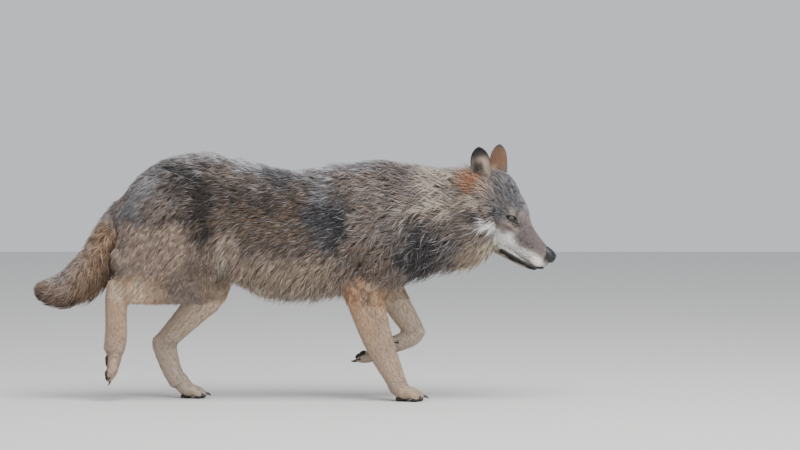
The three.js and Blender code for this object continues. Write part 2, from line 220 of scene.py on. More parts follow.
def upright_form(points, slices, coat, square=2.2, caps=(26, 40)):
    """Distance from a form of upright slices, negative inside, and how deep its coat is at each point."""
    x = np.clip(points[:, 0], slices[0, 0], slices[-1, 0])
    top, bottom, widest, side, middle = (np.interp(x, slices[:, 0], slices[:, k]) for k in range(1, 6))
    along = points[:, 0] - x
    cap = np.where(along > 0, caps[1], caps[0])
    up = points[:, 2] - widest
    out = points[:, 1] - middle
    tall = np.where(up > 0, top - widest, widest - bottom)
    share = np.abs(out / side) ** square + np.abs(up / tall) ** square + np.abs(along / cap) ** square
    share = np.maximum(share, 1e-5) ** (1 / square)
    distance = np.sqrt(along ** 2 + out ** 2 + up ** 2) * (1 - 1 / share)
    back, flank, belly = (np.interp(x, coat[:, 0], coat[:, k]) for k in (1, 2, 3))
    steep = np.clip(up / tall, -1, 1) ** 2
    return distance, flank + (np.where(up > 0, back, belly) - flank) * steep


# %% [markdown]
# The legs and the tail are chains. A station reads: x, y, z, radius in front, radius behind, radius at the
# side, depth of coat. In this stride the right forefoot and the left hind foot stand, and the other two
# swing: the left wrist is bent back under the chest and the right hind foot trails with its toes down.

# %% Legs and tail
CHAINS = {
    "right_shoulder": [
        (262, -60, 630, 54, 50, 30, 26),
        (288, -74, 560, 90, 74, 38, 26),
        (290, -86, 480, 104, 90, 55, 24),
        (264, -82, 405, 92, 88, 51, 20),
        (226, -73, 340, 66, 66, 42, 15),
    ],
    "right_forearm": [
        (204, -72, 362, 60, 58, 40, 12),
        (220, -70, 318, 61, 63, 42, 8),
        (236, -67, 262, 54, 58, 38, 5),
        (254, -64, 205, 48, 52, 33, 4),
        (274, -62, 150, 43, 45, 30, 3),
        (292, -61, 106, 39, 38, 29, 3),
        (306, -60, 74, 35, 32, 29, 3),
        (320, -60, 46, 30, 30, 31, 3),
    ],
    "left_shoulder": [
        (262, 60, 630, 54, 50, 30, 26),
        (290, 74, 560, 90, 74, 38, 26),
        (296, 86, 490, 104, 90, 55, 24),
        (280, 81, 430, 88, 80, 49, 20),
        (262, 75, 390, 62, 60, 42, 15),
    ],
    "left_forearm": [
        (246, 74, 408, 56, 52, 40, 12),
        (272, 72, 356, 54, 50, 40, 8),
        (304, 68, 302, 46, 43, 36, 5),
        (338, 64, 248, 41, 38, 32, 4),
        (364, 62, 210, 35, 33, 30, 3),
    ],
    "left_pastern": [
        (380, 62, 208, 29, 26, 28, 3),
        (360, 62, 188, 33, 29, 28, 3),
        (332, 61, 172, 30, 28, 27, 3),
        (304, 60, 162, 27, 26, 27, 3),
    ],
    "right_thigh": [
        (-350, -62, 660, 66, 72, 42, 26),
        (-366, -70, 602, 96, 100, 52, 24),
        (-380, -72, 530, 130, 124, 57, 22),
        (-380, -72, 460, 152, 150, 58, 22),
        (-376, -71, 400, 160, 160, 54, 15),
        (-360, -70, 350, 140, 150, 48, 8),
        (-358, -70, 305, 98, 114, 40, 6),
    ],
    "right_shank": [
        (-392, -70, 330, 38, 36, 30, 6),
        (-440, -68, 334, 40, 44, 31, 5),
        (-480, -67, 338, 40, 42, 29, 4),
        (-512, -66, 342, 36, 32, 27, 3),
    ],
    "right_metatarsus": [
        (-520, -65, 352, 30, 31, 25, 3),
        (-522, -65, 315, 37, 36, 26, 3),
        (-524, -65, 265, 36, 34, 25, 3),
        (-524, -65, 215, 36, 34, 25, 3),
        (-525, -65, 180, 36, 36, 27, 3),
        (-527, -65, 156, 32, 36, 30, 3),
    ],
    "left_thigh": [
        (-350, 62, 660, 66, 72, 42, 26),
        (-345, 70, 600, 96, 100, 52, 24),
        (-335, 72, 530, 124, 124, 57, 22),
        (-312, 72, 460, 130, 142, 57, 22),
        (-278, 71, 400, 110, 132, 50, 14),
        (-248, 70, 350, 78, 96, 42, 8),
    ],
    "left_shank": [
        (-232, 70, 360, 56, 58, 36, 10),
        (-254, 69, 308, 55, 58, 37, 7),
        (-298, 66, 260, 46, 48, 33, 5),
        (-344, 64, 212, 39, 40, 29, 4),
        (-376, 62, 180, 34, 34, 27, 3),
    ],
    "left_metatarsus": [
        (-398, 62, 180, 30, 28, 24, 3),
        (-388, 62, 158, 39, 36, 26, 3),
        (-376, 61, 122, 36, 34, 25, 3),
        (-362, 60, 84, 31, 32, 26, 3),
        (-344, 60, 50, 28, 30, 28, 3),
    ],
    "tail": [
        (-508, 0, 568, 46, 44, 44, 22),
        (-540, 0, 505, 60, 50, 52, 30),
        (-570, 0, 440, 68, 60, 60, 38),
        (-603, 0, 390, 72, 68, 64, 43),
        (-640, 0, 353, 71, 67, 63, 43),
        (-684, 0, 330, 58, 56, 54, 36),
        (-724, 0, 325, 42, 40, 40, 28),
        (-756, 0, 328, 26, 26, 26, 18),
    ],
}
CHAINS = {name: through(rows, 3) for name, rows in CHAINS.items()}
END_ROUNDING = 6.0  # how softly a chain's ends are cut square, mm
REACH = 60.0  # beyond a chain's own box plus this, it isn't measured, mm
END_CAP = 18.0  # how far a chain's round ends reach past its first and last station, mm


def smooth_union(a, b, blend):
    h = np.clip(0.5 + 0.5 * (b - a) / blend, 0, 1)
    return b + (a - b) * h - blend * h * (1 - h)


def chain_form(points, rows):
    """Distance from a chain, its coat's depth, its direction and how far down the chain, at each point."""
    count = len(points)
    best = np.full(count, FAR)
    depth = np.full(count, rows[0, 6])
    heading = np.tile(unit(rows[-1, :3] - rows[0, :3]), (count, 1))
    down = np.zeros(count)
    low = (rows[:, :3] - rows[:, 3:6].max(1)[:, None]).min(0) - REACH
    high = (rows[:, :3] + rows[:, 3:6].max(1)[:, None]).max(0) + REACH
    near = np.nonzero(np.all((points > low) & (points < high), axis=1))[0]
    if len(near) == 0:
        return best, depth, heading, down
    p = points[near]
    found, deep, way, share = best[near], depth[near], heading[near], down[near]
    for k, (a, b) in enumerate(zip(rows, rows[1:])):
        step = b[:3] - a[:3]
        t = np.clip((p - a[:3]) @ step / (step @ step), 0, 1)
        forward = unit(step)
        across = unit(np.array([0, 1, 0]) - forward * forward[1])
        fore = np.cross(forward, across)
        offset = p - a[:3] - t[:, None] * step
        radii = a[3:6] + t[:, None] * (b[3:6] - a[3:6])
        f, s, over = offset @ fore, offset @ across, offset @ forward
        f_radius = np.where(f > 0, radii[:, 0], radii[:, 1])
        end_radius = 0.45 * (f_radius + radii[:, 2])
        at_end = ((k == 0) & (over < 0)) | ((k == len(rows) - 2) & (over > 0))
        end_radius = np.where(at_end, np.minimum(END_CAP, end_radius), end_radius)
        size = np.sqrt((f / f_radius) ** 2 + (s / radii[:, 2]) ** 2 + (over / end_radius) ** 2)
        distance = np.linalg.norm(offset, axis=1) * (1 - 1 / np.maximum(size, 1e-3))
        closer = distance < found
        found = np.where(closer, distance, found)
        deep = np.where(closer, a[6] + t * (b[6] - a[6]), deep)
        way = np.where(closer[:, None], forward, way)
        share = np.where(closer, (k + t) / (len(rows) - 1), share)
    for end, beside in ((rows[0], rows[1]), (rows[-1], rows[-2])):
        beyond = (p - end[:3]) @ unit(end[:3] - beside[:3]) - END_CAP
        found = -smooth_union(-found, -beyond, END_ROUNDING)
    best[near], depth[near], heading[near], down[near] = found, deep, way, share
    return best, depth, heading, down


# %% [markdown]
# The paws, the head and the ears are made in frames of their own, where they are straight. A paw has a palm
# and four toes, with its sole on the ground and its toes forward. The head's frame has its origin between
# the eyes, its first axis to the nose and its last to the crown. An ear stands on its base and opens to its
# own front.

# %% Frames of the paws, the head and the ears
HEAD = {"at": np.array([666.0, -12.0, 552.0]), "turn": turn_z(-15) @ turn_y(30), "scale": 1.0}
PAWS = {
    "right_forepaw": {"at": np.array([332.0, -60, 0]), "turn": turn_y(0), "scale": 1.0},
    "left_hindpaw": {"at": np.array([-318.0, 60, 0]), "turn": turn_y(0), "scale": 0.92},
    "left_forepaw": {"at": np.array([241.0, 60, 158]), "turn": turn_y(150), "scale": 0.98},
    "right_hindpaw": {"at": np.array([-556.0, -65, 120]), "turn": turn_y(90), "scale": 0.92},
}
SWINGING = ("left_forepaw", "right_hindpaw")


def ear_frame(at, side, lean, back, look):
    turn = turn_x(-side * lean) @ turn_y(-back) @ turn_z(look)
    return {"at": np.array(at, float), "turn": turn, "scale": 1.0}


EARS = {
    "right_ear": ear_frame((-126, -57, 54), -1, 12, 34, -72),
    "left_ear": ear_frame((-114, 56, 66), 1, 10, 26, 66),
}


def into(points, place):
    return (points - place["at"]) @ place["turn"] / place["scale"]


def out_of(points, place):
    return points @ place["turn"].T * place["scale"] + place["at"]


# %% Paws
PALM = {
    False: [(-20, 0, 62, 26, 26, 28, 3), (-10, 0, 42, 29, 29, 33, 3), (4, 0, 27, 27, 25, 37, 3), (24, 0, 22, 18, 19, 37, 3)],
    True: [(-54, 0, 30, 25, 25, 26, 3), (-30, 0, 30, 28, 28, 31, 3), (-4, 0, 27, 27, 25, 36, 3), (24, 0, 22, 18, 19, 37, 3)],
}
TOE_ROWS = ((-33, 40), (-12, 54), (12, 54), (33, 40))  # each toe's y and how far forward it reaches
PAW_COAT = 3.0


def toe_chain(y, reach):
    return through([
        (4, y * 0.8, 25, 15, 15, 13, PAW_COAT),
        (reach * 0.5, y, 29, 15, 17, 13.5, PAW_COAT),
        (reach * 0.86, y * 1.05, 19, 15.5, 15, 13.5, PAW_COAT),
        (reach * 1.04, y * 1.07, 13, 13, 12, 11.5, PAW_COAT),
    ], 2)


def paw_form(points, name):
    place = PAWS[name]
    local = into(points, place)
    best = np.full(len(points), FAR)
    near = np.all(np.abs(local - (0, 0, 35)) < (130, 90, 100), axis=1)
    p = local[near]
    if len(p):
        palm = chain_form(p, through(PALM[name in SWINGING], 2))[0]
        toes = [chain_form(p, toe_chain(y, reach))[0] for y, reach in TOE_ROWS]
        found = toes[0]
        for toe in toes[1:]:
            found = smooth_union(found, toe, 2.5)
        found = smooth_union(found, palm, 9)
        best[near] = np.maximum(found, 1.5 - PAW_COAT - p[:, 2]) * place["scale"]
    heading = np.tile(place["turn"] @ np.array([1.0, 0, -0.25]), (len(points), 1))
    return best, np.full(len(points), PAW_COAT), heading, np.ones(len(points))


# %% [markdown]
# The skull is broad behind and narrows through the brows into a long wedge of a muzzle. The lower jaw tucks
# in under the lips. The coat thins from a thick ruff on the cheeks to almost nothing on the muzzle.

# %% Head and ears
SKULL = through([
    (-150, 76, -128, -62, 88, 0),
    (-118, 96, -156, -66, 104, 0),
    (-80, 102, -162, -66, 106, 0),
    (-48, 90, -148, -60, 92, 0),
    (-20, 75, -132, -54, 72, 0),
    (4, 61, -116, -46, 56, 0),
    (26, 46, -104, -42, 48, 0),
    (44, 24, -99, -44, 42.5, 0),
    (60, 8, -98, -48, 39, 0),
    (80, -4, -98, -54, 36.5, 0),
    (105, -15, -97, -60, 34.5, 0),
    (135, -25, -94, -66, 32, 0),
    (154, -33, -86, -62, 25, 0),
])
SKULL_COAT = through([
    (-150, 26, 34, 44),
    (-118, 20, 36, 46),
    (-80, 14, 28, 44),
    (-48, 10, 18, 34),
    (-20, 8, 9, 20),
    (4, 7, 6, 12),
    (26, 5, 3, 5),
    (44, 3.5, 2.5, 3),
    (80, 2, 2, 2),
    (154, 1.5, 1.5, 1.5),
])
JAW = through([
    (-62, -58, -142, -100, 58, 0),
    (-25, -62, -134, -98, 50, 0),
    (8, -66, -128, -96, 42, 0),
    (40, -76, -124, -100, 34, 0),
    (75, -86, -121, -103, 29, 0),
    (108, -90, -117, -103, 26, 0),
    (132, -90, -110, -99, 20, 0),
])
JAW_COAT = through([(-62, 26, 28, 30), (-25, 14, 16, 20), (8, 8, 8, 12), (60, 3, 3, 4), (132, 2, 2, 2)])


# %% [markdown]
# An ear is a sheet of cartilage rolled into a cup, nearly a tube at its root and almost flat at its tip. It
# is thinner than the cubes of the surface net can show, so it is made as a rolled sheet of its own: a curve
# across, from rim to rim, that changes its width and its roll from root to tip.

# %% Ears
EAR_LENGTH, EAR_HALF_WIDTH = 98.0, 30.0
EAR_WALL, EAR_RIM_WALL = 3.4, 1.3  # thickness of the cartilage at the back of the cup and at its rim
EAR_RINGS = through([  # height and half width as shares, depth in front, depth behind, roll in degrees
    (-0.50, 0.66, 20, 14, 165),
    (-0.20, 0.78, 24, 16, 160),
    (0.08, 0.92, 26, 18, 138),
    (0.28, 1.00, 24, 18, 116),
    (0.50, 0.97, 18, 15, 101),
    (0.70, 0.88, 13, 13, 94),
    (0.84, 0.70, 10, 10, 90),
    (0.93, 0.48, 7, 8, 86),
    (0.98, 0.26, 5, 5, 82),
    (1.00, 0.10, 3, 3, 80),
], 5)
EAR_ACROSS = 30


def ear_sheet(place):
    """Points and quads of a closed rolled sheet, and what each point knows: its lie, side, height and edge."""
    up, wide, front, back, roll = EAR_RINGS.T[:, :, None]
    turn = np.radians(roll) * np.linspace(-1, 1, EAR_ACROSS)[None, :]
    x = -np.cos(turn) * np.where(np.cos(turn) > 0, back, front)
    y = np.sin(turn) * wide * EAR_HALF_WIDTH
    sheet = np.stack([x, y, np.broadcast_to(up * EAR_LENGTH, x.shape)], -1)
    across = np.gradient(sheet, axis=1)
    rising = np.gradient(sheet, axis=0)
    out = unit(np.cross(across, rising))
    edge = np.abs(np.linspace(-1, 1, EAR_ACROSS)) ** 6
    wall = (EAR_WALL + (EAR_RIM_WALL - EAR_WALL) * edge)[None, :, None] / 2
    shell = np.concatenate([sheet + out * wall, (sheet - out * wall)[:, ::-1]], axis=1)
    rings, sides = shell.shape[:2]
    number = np.arange(rings * sides).reshape(rings, sides)
    beside = np.roll(number, -1, axis=1)
    quads = np.stack([number[:-1], beside[:-1], beside[1:], number[1:]], -1).reshape(-1, 4)
    half = sides // 2
    ends = []
    for ring in (number[0, ::-1], number[-1]):
        for k in range(half - 1):
            ends.append((ring[k], ring[k + 1], ring[sides - 2 - k], ring[sides - 1 - k]))
    inside = np.zeros((rings, sides), bool)
    inside[:, :half] = True
    points = out_of(shell.reshape(-1, 3), place)
    forward = points[:, 0].reshape(rings, sides)
    forward = (forward - forward.mean(1, keepdims=True)) / EAR_HALF_WIDTH
    points = out_of(points, HEAD)
    lie = unit(np.gradient(points.reshape(rings, sides, 3), axis=0)).reshape(-1, 3)
    share = np.abs(np.linspace(-1, 1, EAR_ACROSS))
    edge = np.broadcast_to(np.concatenate([share, share[::-1]]), (rings, sides))
    height = np.broadcast_to(EAR_RINGS[:, :1], (rings, sides))
    knows = {"lie": lie, "inside": inside.ravel(), "height": height.ravel(), "edge": edge.ravel(),
             "forward": forward.ravel()}
    return points, np.concatenate([quads, ends]), knows


# %% [markdown]
# ## Joining the forms into one skin
#
# Each form says how far a point is from it. The smallest of these numbers is the distance from the whole
# body, and blending them where two are alike gives the soft creases of real flesh: a shoulder slides under
# the skin, it isn't bolted on. For the skin, the depth of the coat is added first, which moves the surface
# inwards.

# %% The body as one field
BLENDS = {"shoulder": 30, "thigh": 30, "tail": 18, "skull": 26, "jaw": 5, "forearm": 14}
LEG_BLEND = 10.0


def survey(points, parts):
    """What each named part says at the points: distance, coat depth, heading, share down the part."""
    local = into(points, HEAD)
    said = {}
    for name in parts:
        if name == "torso":
            said[name] = (*upright_form(points, TORSO, TORSO_COAT), None, None)
        elif name == "skull":
            said[name] = (*upright_form(local, SKULL, SKULL_COAT, 2.25, (26, 10)), None, None)
        elif name == "jaw":
            said[name] = (*upright_form(local, JAW, JAW_COAT, 2.2, (24, 10)), None, None)
        elif name in PAWS:
            said[name] = paw_form(points, name)
        else:
            said[name] = chain_form(points, CHAINS[name])
    return said


def blend_of(name):
    return next((blend for key, blend in BLENDS.items() if name.endswith(key)), LEG_BLEND)


def body_field(points, parts, bare=True):
    """The skin's field, negative inside. With bare off, the field of the coat's outline instead."""
    said = survey(points, parts)
    whole = None
    for name, found in said.items():
        distance = found[0] + (found[1] if bare else 0)
        whole = distance if whole is None else smooth_union(whole, distance, blend_of(name))
    if bare and "skull" in said:
        whole = carve_face(whole, into(points, HEAD))
    return whole


# %% [markdown]
# The face needs more than the joined forms: the ridge of the brow, the cheekbone, the hollow in front of the
# eye, the lids that wrap the eyeball and part in an almond, and the long slit of the mouth.

# %% Folds of the face
EYE_AT = np.array([1.0, 38, -1])  # the left eye, in the head's frame
EYE_RADIUS = 15.0
LID = 2.3
EYE_WIDTH, EYE_HEIGHT = 18.5, 8.0  # half the opening between the lids
GAZE = unit(np.array([0.50, 0.86, 0.03]))
SLANT = math.radians(7)  # the opening rises to the front, against the drop of the muzzle
EYE_ALONG = np.array([math.cos(SLANT), 0, math.sin(SLANT)])
EYE_ALONG = unit(EYE_ALONG - GAZE * (EYE_ALONG @ GAZE))
EYE_UP = np.cross(EYE_ALONG, GAZE)
EYE_UP = EYE_UP * np.sign(EYE_UP[2])
MOUTH = through([
    (24, 44, -97),
    (40, 41.5, -99),
    (75, 36.5, -99),
    (110, 33, -98.5),
    (135, 28.5, -96),
    (150, 17, -91),
    (157, 0, -88),
], 4)


def egg(points, at, radii):
    offset = points - at
    size = np.linalg.norm(offset / radii, axis=1)
    return np.linalg.norm(offset, axis=1) * (1 - 1 / np.maximum(size, 1e-3))


def capsule(points, a, b, radius):
    a, b = np.array(a, float), np.array(b, float)
    t = np.clip((points - a) @ (b - a) / ((b - a) @ (b - a)), 0, 1)
    return np.linalg.norm(points - a - t[:, None] * (b - a), axis=1) - radius


def almond(a):
    """Half the height of the opening between the lids, at a along it."""
    return EYE_HEIGHT * np.clip(1 - np.abs(a / EYE_WIDTH) ** 1.9, 0, 1)


def carve_face(skin, p):
    near = np.nonzero((p[:, 0] > -70) & (p[:, 0] < 175) & (np.abs(p[:, 1]) < 80) & (skin < 30))[0]
    if len(near) == 0:
        return skin
    q = p[near] * (1, 1, 1)
    q[:, 1] = np.abs(q[:, 1])
    f = skin[near]
    f = smooth_union(f, capsule(q, (-14, 36, 26), (20, 29, 20), 7), 15)
    f = smooth_union(f, capsule(q, (30, 34, -30), (-34, 56, -22), 10), 16)
    f = -smooth_union(-f, egg(q, (34, 50, -10), (20, 11, 11)), 9)
    f = -smooth_union(-f, egg(q, (86, 44, -46), (40, 10, 13)), 8)
    f = smooth_union(f, egg(q, (132, 15, -76), (22, 17.5, 17)), 8)
    offset = q - EYE_AT
    ball = np.linalg.norm(offset, axis=1)
    f = smooth_union(f, ball - EYE_RADIUS - LID, 5)
    opening = np.abs(offset @ EYE_UP) - almond(offset @ EYE_ALONG)
    f = np.maximum(f, -np.maximum(opening, 3.0 - offset @ GAZE))
    f = np.maximum(f, EYE_RADIUS + 0.3 - ball)
    slit = np.min([capsule(q, a, b, 2.0) for a, b in zip(MOUTH, MOUTH[1:])], axis=0)
    f = -smooth_union(-f, slit, 1.5)
    f = -smooth_union(-f, capsule(q, (160, 0, -60), (158, 0, -92), 1.6), 2)
    skin[near] = f
    return skin


# %% [markdown]
# A surface net turns the field into a mesh. Space is cut into small cubes. Every cube that the surface
# crosses gets one point, in the middle of where its edges are crossed, and neighbouring points are joined.
# Small parts need small cubes, so the body is netted region by region, each closed, and the closed
# regions, overlapping a little, are put together in one mesh as the skin.

# %% Surface net
CORNERS = [(0, 0), (0, 1), (1, 0), (1, 1)]


def surface_net(field, low, high, step):
    """Points and triangles of the surface where the field is nought, in the grid's own coordinates."""
    low = np.array(low, float)
    axes = [np.arange(a, b + step, step) for a, b in zip(low, high)]
    grid = np.stack(np.meshgrid(*axes, indexing="ij"), -1)
    shape = grid.shape[:3]
    values = np.concatenate([field(part) for part in np.array_split(grid.reshape(-1, 3), 8)]).reshape(shape)
    cells = tuple(n - 1 for n in shape)
    total, crossed = np.zeros(cells + (3,)), np.zeros(cells)
    for axis in range(3):
        others = [k for k in range(3) if k != axis]
        for b, c in CORNERS:
            start = [slice(0, n) for n in cells]
            start[others[0]] = slice(b, b + cells[others[0]])
            start[others[1]] = slice(c, c + cells[others[1]])
            end = list(start)
            end[axis] = slice(1, cells[axis] + 1)
            v, w = values[tuple(start)], values[tuple(end)]
            cut = (v < 0) != (w < 0)
            t = np.where(cut, v / np.where(cut, v - w, 1), 0)
            total[..., axis] += t
            total[..., others[0]] += cut * b
            total[..., others[1]] += cut * c
            crossed += cut
    used = crossed > 0
    number = np.full(cells, -1)
    number[used] = np.arange(used.sum())
    points = low + step * (np.argwhere(used) + total[used] / crossed[used][:, None])
    faces = []
    for axis in range(3):
        b, c = (axis + 1) % 3, (axis + 2) % 3
        inner = [slice(1, n - 1) for n in shape]
        inner[axis] = slice(0, shape[axis] - 1)
        ahead = list(inner)
        ahead[axis] = slice(1, shape[axis])
        v, w = values[tuple(inner)], values[tuple(ahead)]
        place = np.argwhere((v < 0) != (w < 0))
        leaving = v[tuple(place.T)] < 0
        place[:, b] += 1
        place[:, c] += 1
        around = []
        for db, dc in ((-1, -1), (0, -1), (0, 0), (-1, 0)):
            cell = place.copy()
            cell[:, b] += db
            cell[:, c] += dc
            around.append(number[tuple(cell.T)])
        quad = np.stack(around, 1)
        quad[~leaving] = quad[~leaving][:, ::-1]
        faces.append(quad)
    return points, np.concatenate(faces)


def box_field(points, low, high):
    middle, half = (np.array(high) + low) / 2, (np.array(high, float) - low) / 2
    return np.max(np.abs(points - middle) - half, axis=1)


# %% Regions of the skin
TABLES = {"at": np.zeros(3), "turn": np.eye(3), "scale": 1.0}


HEAD_PARTS = ["torso", "skull", "jaw"]
LEGS = {
    "right_foreleg": ["right_shoulder", "right_forearm", "right_forepaw"],
    "left_foreleg": ["left_shoulder", "left_forearm", "left_pastern", "left_forepaw"],
    "right_hindleg": ["right_thigh", "right_shank", "right_metatarsus", "right_hindpaw"],
    "left_hindleg": ["left_thigh", "left_shank", "left_metatarsus", "left_hindpaw"],
}
UPPER_PARTS = [name for parts in LEGS.values() for name in parts if not name.endswith("paw")]
REGIONS = {
    "right_eye": (HEAD, (-22, -64, -19), (30, -20, 18), 1.5, HEAD_PARTS),
    "left_eye": (HEAD, (-22, 20, -19), (30, 64, 18), 1.5, HEAD_PARTS),
    "face": (HEAD, (-22, -66, -130), (172, 66, 90), 2.4, HEAD_PARTS),
    "head": (HEAD, (-150, -112, -150), (-10, 112, 110), 3.9, HEAD_PARTS),
    "right_forepaw": (TABLES, (285, -118, -3), (420, -4, 58), 2.8, LEGS["right_foreleg"]),
    "left_hindpaw": (TABLES, (-388, 4, -3), (-236, 116, 58), 2.8, LEGS["left_hindleg"]),
    "right_foreleg": (TABLES, (140, -130, 54), (400, -12, 304), 4.8, ["torso"] + LEGS["right_foreleg"]),
    "left_foreleg": (TABLES, (140, 4, 80), (440, 130, 304), 4.2, ["torso"] + LEGS["left_foreleg"]),
    "right_hindleg": (TABLES, (-620, -118, 30), (-425, -30, 420), 4.4, ["torso"] + LEGS["right_hindleg"]),
    "right_knee": (TABLES, (-430, -130, 250), (-180, -8, 304), 4.8, ["torso"] + LEGS["right_hindleg"]),
    "left_hindleg": (TABLES, (-450, 8, 54), (-180, 130, 304), 4.8, ["torso"] + LEGS["left_hindleg"]),
    "body": (TABLES, (-800, -152, 300), (620, 152, 764), 9.5, ["torso", *UPPER_PARTS, "tail", "skull"]),
}
OVERLAP = 2.2  # neighbouring regions overlap by this many of the coarser region's cubes
WITHOUT = {
    "face": ("right_eye", "left_eye"),
    "head": ("face",),
    "right_foreleg": ("right_forepaw",),
    "left_hindleg": ("left_hindpaw",),
    "body": ("head", "right_hindleg"),
}


def net_region(name):
    place, low, high, step, parts = REGIONS[name]
    margin = 1.6 * step

    def field(local):
        points = out_of(local, place)
        skin = np.maximum(body_field(points, parts), box_field(local, low, high))
        for other in WITHOUT.get(name, ()):
            other_place, other_low, other_high = REGIONS[other][:3]
            skin = np.maximum(skin, -box_field(into(points, other_place), other_low, other_high) - OVERLAP * step)
        return skin

    points, faces = surface_net(field, np.array(low) - margin, np.array(high) + margin, step)
    return out_of(points, place), faces


def build_mesh(name, points, faces, smooth=True):
    """A mesh from arrays: points in frame metres, faces as rows of corners."""
    mesh = bpy.data.meshes.new(name)
    sides = faces.shape[1]
    mesh.vertices.add(len(points))
    mesh.vertices.foreach_set("co", np.ascontiguousarray(points, np.float32).ravel())
    mesh.loops.add(faces.size)
    mesh.loops.foreach_set("vertex_index", np.ascontiguousarray(faces, np.int32).ravel())
    mesh.polygons.add(len(faces))
    mesh.polygons.foreach_set("loop_start", np.arange(0, faces.size, sides, dtype=np.int32))
    mesh.update(calc_edges=True)
    mesh.polygons.foreach_set("use_smooth", np.full(len(faces), smooth))
    return mesh


def show(name, mesh):
    made = bpy.data.objects.new(name, mesh)
    bpy.context.scene.collection.objects.link(made)
    return made



def triangles_of(quads):
    flat = np.concatenate([quads[:, [0, 1, 2]], quads[:, [0, 2, 3]]])
    return flat


def point_normals(points, triangles):
    a, b, c = (points[triangles[:, k]] for k in range(3))
    facing = np.cross(b - a, c - a)
    total = np.zeros_like(points)
    for k in range(3):
        for axis in range(3):
            total[:, axis] += np.bincount(triangles[:, k], facing[:, axis], len(points))
    return unit(total)


region_meshes = {}
for region in REGIONS:
    points, quads = net_region(region)
    triangles = triangles_of(quads)
    region_meshes[region] = (points, quads, triangles, point_normals(points, triangles))
    print("region", region, len(triangles), "triangles", round(time.time() - started, 1), "s")
for side in EARS:
    points, quads, knows = ear_sheet(EARS[side])
    triangles = triangles_of(quads)
    region_meshes[side] = (points, quads, triangles, point_normals(points, triangles))
    EARS[side] |= knows

# %% [markdown]
# ## The markings
#
# A wolf's coat is agouti: each hair is banded, dark at its tip, and the mix of bands makes zones of silver,
# charcoal, brown and buff with soft, ragged edges. The zones are painted here as named dabs. A dab has a
# place, a size, a colour, a strength and a share of grizzled hairs. Later dabs lie over earlier ones. Two
# umber dabs are painted shade instead: one in the crease in front of the thigh, one along the thigh's lower
# edge. The same function colours the skin and every tuft, so a parting never shows a strange colour.

# %% Palette
PALETTE = {
    "silver": (0.645, 0.64, 0.655),
    "pale_silver": (0.79, 0.785, 0.80),
    "grey": (0.36, 0.35, 0.36),
    "slate": (0.265, 0.26, 0.275),
    "charcoal": (0.175, 0.17, 0.175),
    "soot": (0.12, 0.115, 0.12),
    "umber": (0.225, 0.185, 0.165),
    "brown": (0.43, 0.355, 0.295),
    "grey_brown": (0.525, 0.465, 0.425),
    "fawn": (0.71, 0.615, 0.54),
    "buff": (0.69, 0.61, 0.525),
    "cream": (0.83, 0.775, 0.70),
    "white": (0.97, 0.96, 0.94),
    "tan": (0.745, 0.60, 0.465),
    "pale_tan": (0.76, 0.645, 0.53),
    "orange": (0.66, 0.48, 0.35),
    "rust": (0.60, 0.42, 0.30),
    "rose_grey": (0.39, 0.345, 0.34),
    "black": (0.05, 0.05, 0.055),
}
PALETTE = {name: linear(colour) for name, colour in PALETTE.items()}

# %% Dabs of the body
# colour, x, z, half length, half height, tilt in degrees, strength, grizzle
BODY_DABS = [
    ("brown", -55, 546, 330, 110, 0, 1.0, 0.5),
    ("buff", -44, 370, 253, 68, 0, 0.9, 0.15),
    ("grey_brown", 230, 557, 94, 132, 0, 0.95, 0.7),
    ("brown", 242, 414, 82, 68, 20, 0.9, 0.4),
    ("grey_brown", 428, 546, 132, 154, 0, 0.9, 0.6),
    ("grey_brown", -407, 590, 105, 105, 0, 0.95, 0.7),
    ("fawn", -402, 452, 143, 97, 0, 0.95, 0.35),
    ("fawn", -198, 447, 55, 55, 20, 0.8, 0.25),
    ("umber", -308, 645, 94, 66, -10, 0.75, 0.6),
    # painted shade: this upright umber dab darkens the crease between the flank and the front of the thigh
    ("umber", -268, 560, 34, 119, 0, 1.0, 0.1),
    ("umber", -347, 543, 77, 15, 6, 0.85, 0.3),
    ("slate", -484, 546, 44, 20, 25, 0.7, 0.5),
    ("brown", -264, 375, 77, 55, -10, 0.8, 0.4),
    ("cream", -207, 430, 22, 68, -14, 0.75, 0.1),
    ("umber", -110, 606, 121, 37, -6, 0.7, 0.5),
    ("silver", -94, 694, 143, 40, -16, 1.0, 1.0),
    ("silver", -446, 628, 138, 29, 54, 0.68, 0.8),
    ("charcoal", -319, 680, 77, 22, -8, 0.7, 0.6),
    ("pale_silver", -264, 731, 143, 30, 0, 0.6, 0.9),
    ("pale_silver", -154, 706, 66, 24, -20, 0.65, 0.8),
    ("charcoal", -32, 656, 76, 22, -12, 0.78, 0.5),
    ("slate", 104, 548, 61, 92, 8, 1.0, 0.5),
    ("charcoal", 140, 513, 26, 78, -12, 0.9, 0.35),
    ("pale_silver", 82, 688, 79, 33, 8, 0.9, 0.8),
    ("silver", 176, 700, 82, 31, 0, 0.9, 0.9),
    ("silver", 88, 626, 28, 36, 16, 0.5, 0.8),
    ("cream", -44, 320, 176, 22, 0, 0.12, 0.1),
    ("slate", 352, 700, 187, 30, 0, 0.6, 1.0),
    ("umber", 296, 584, 18, 88, 10, 0.5, 0.3),
    ("cream", 440, 650, 64, 37, 0, 0.65, 0.5),
    ("cream", 406, 578, 100, 27, 10, 0.6, 0.6),
    ("charcoal", 384, 462, 84, 80, -16, 0.95, 0.5),
    ("soot", 362, 416, 54, 40, -24, 0.8, 0.4),
    ("grey", 486, 446, 40, 56, -10, 0.55, 0.9),
    ("buff", 544, 430, 61, 57, 0, 0.9, 0.3),
    ("cream", 560, 401, 66, 29, 6, 0.7, 0.2),
]
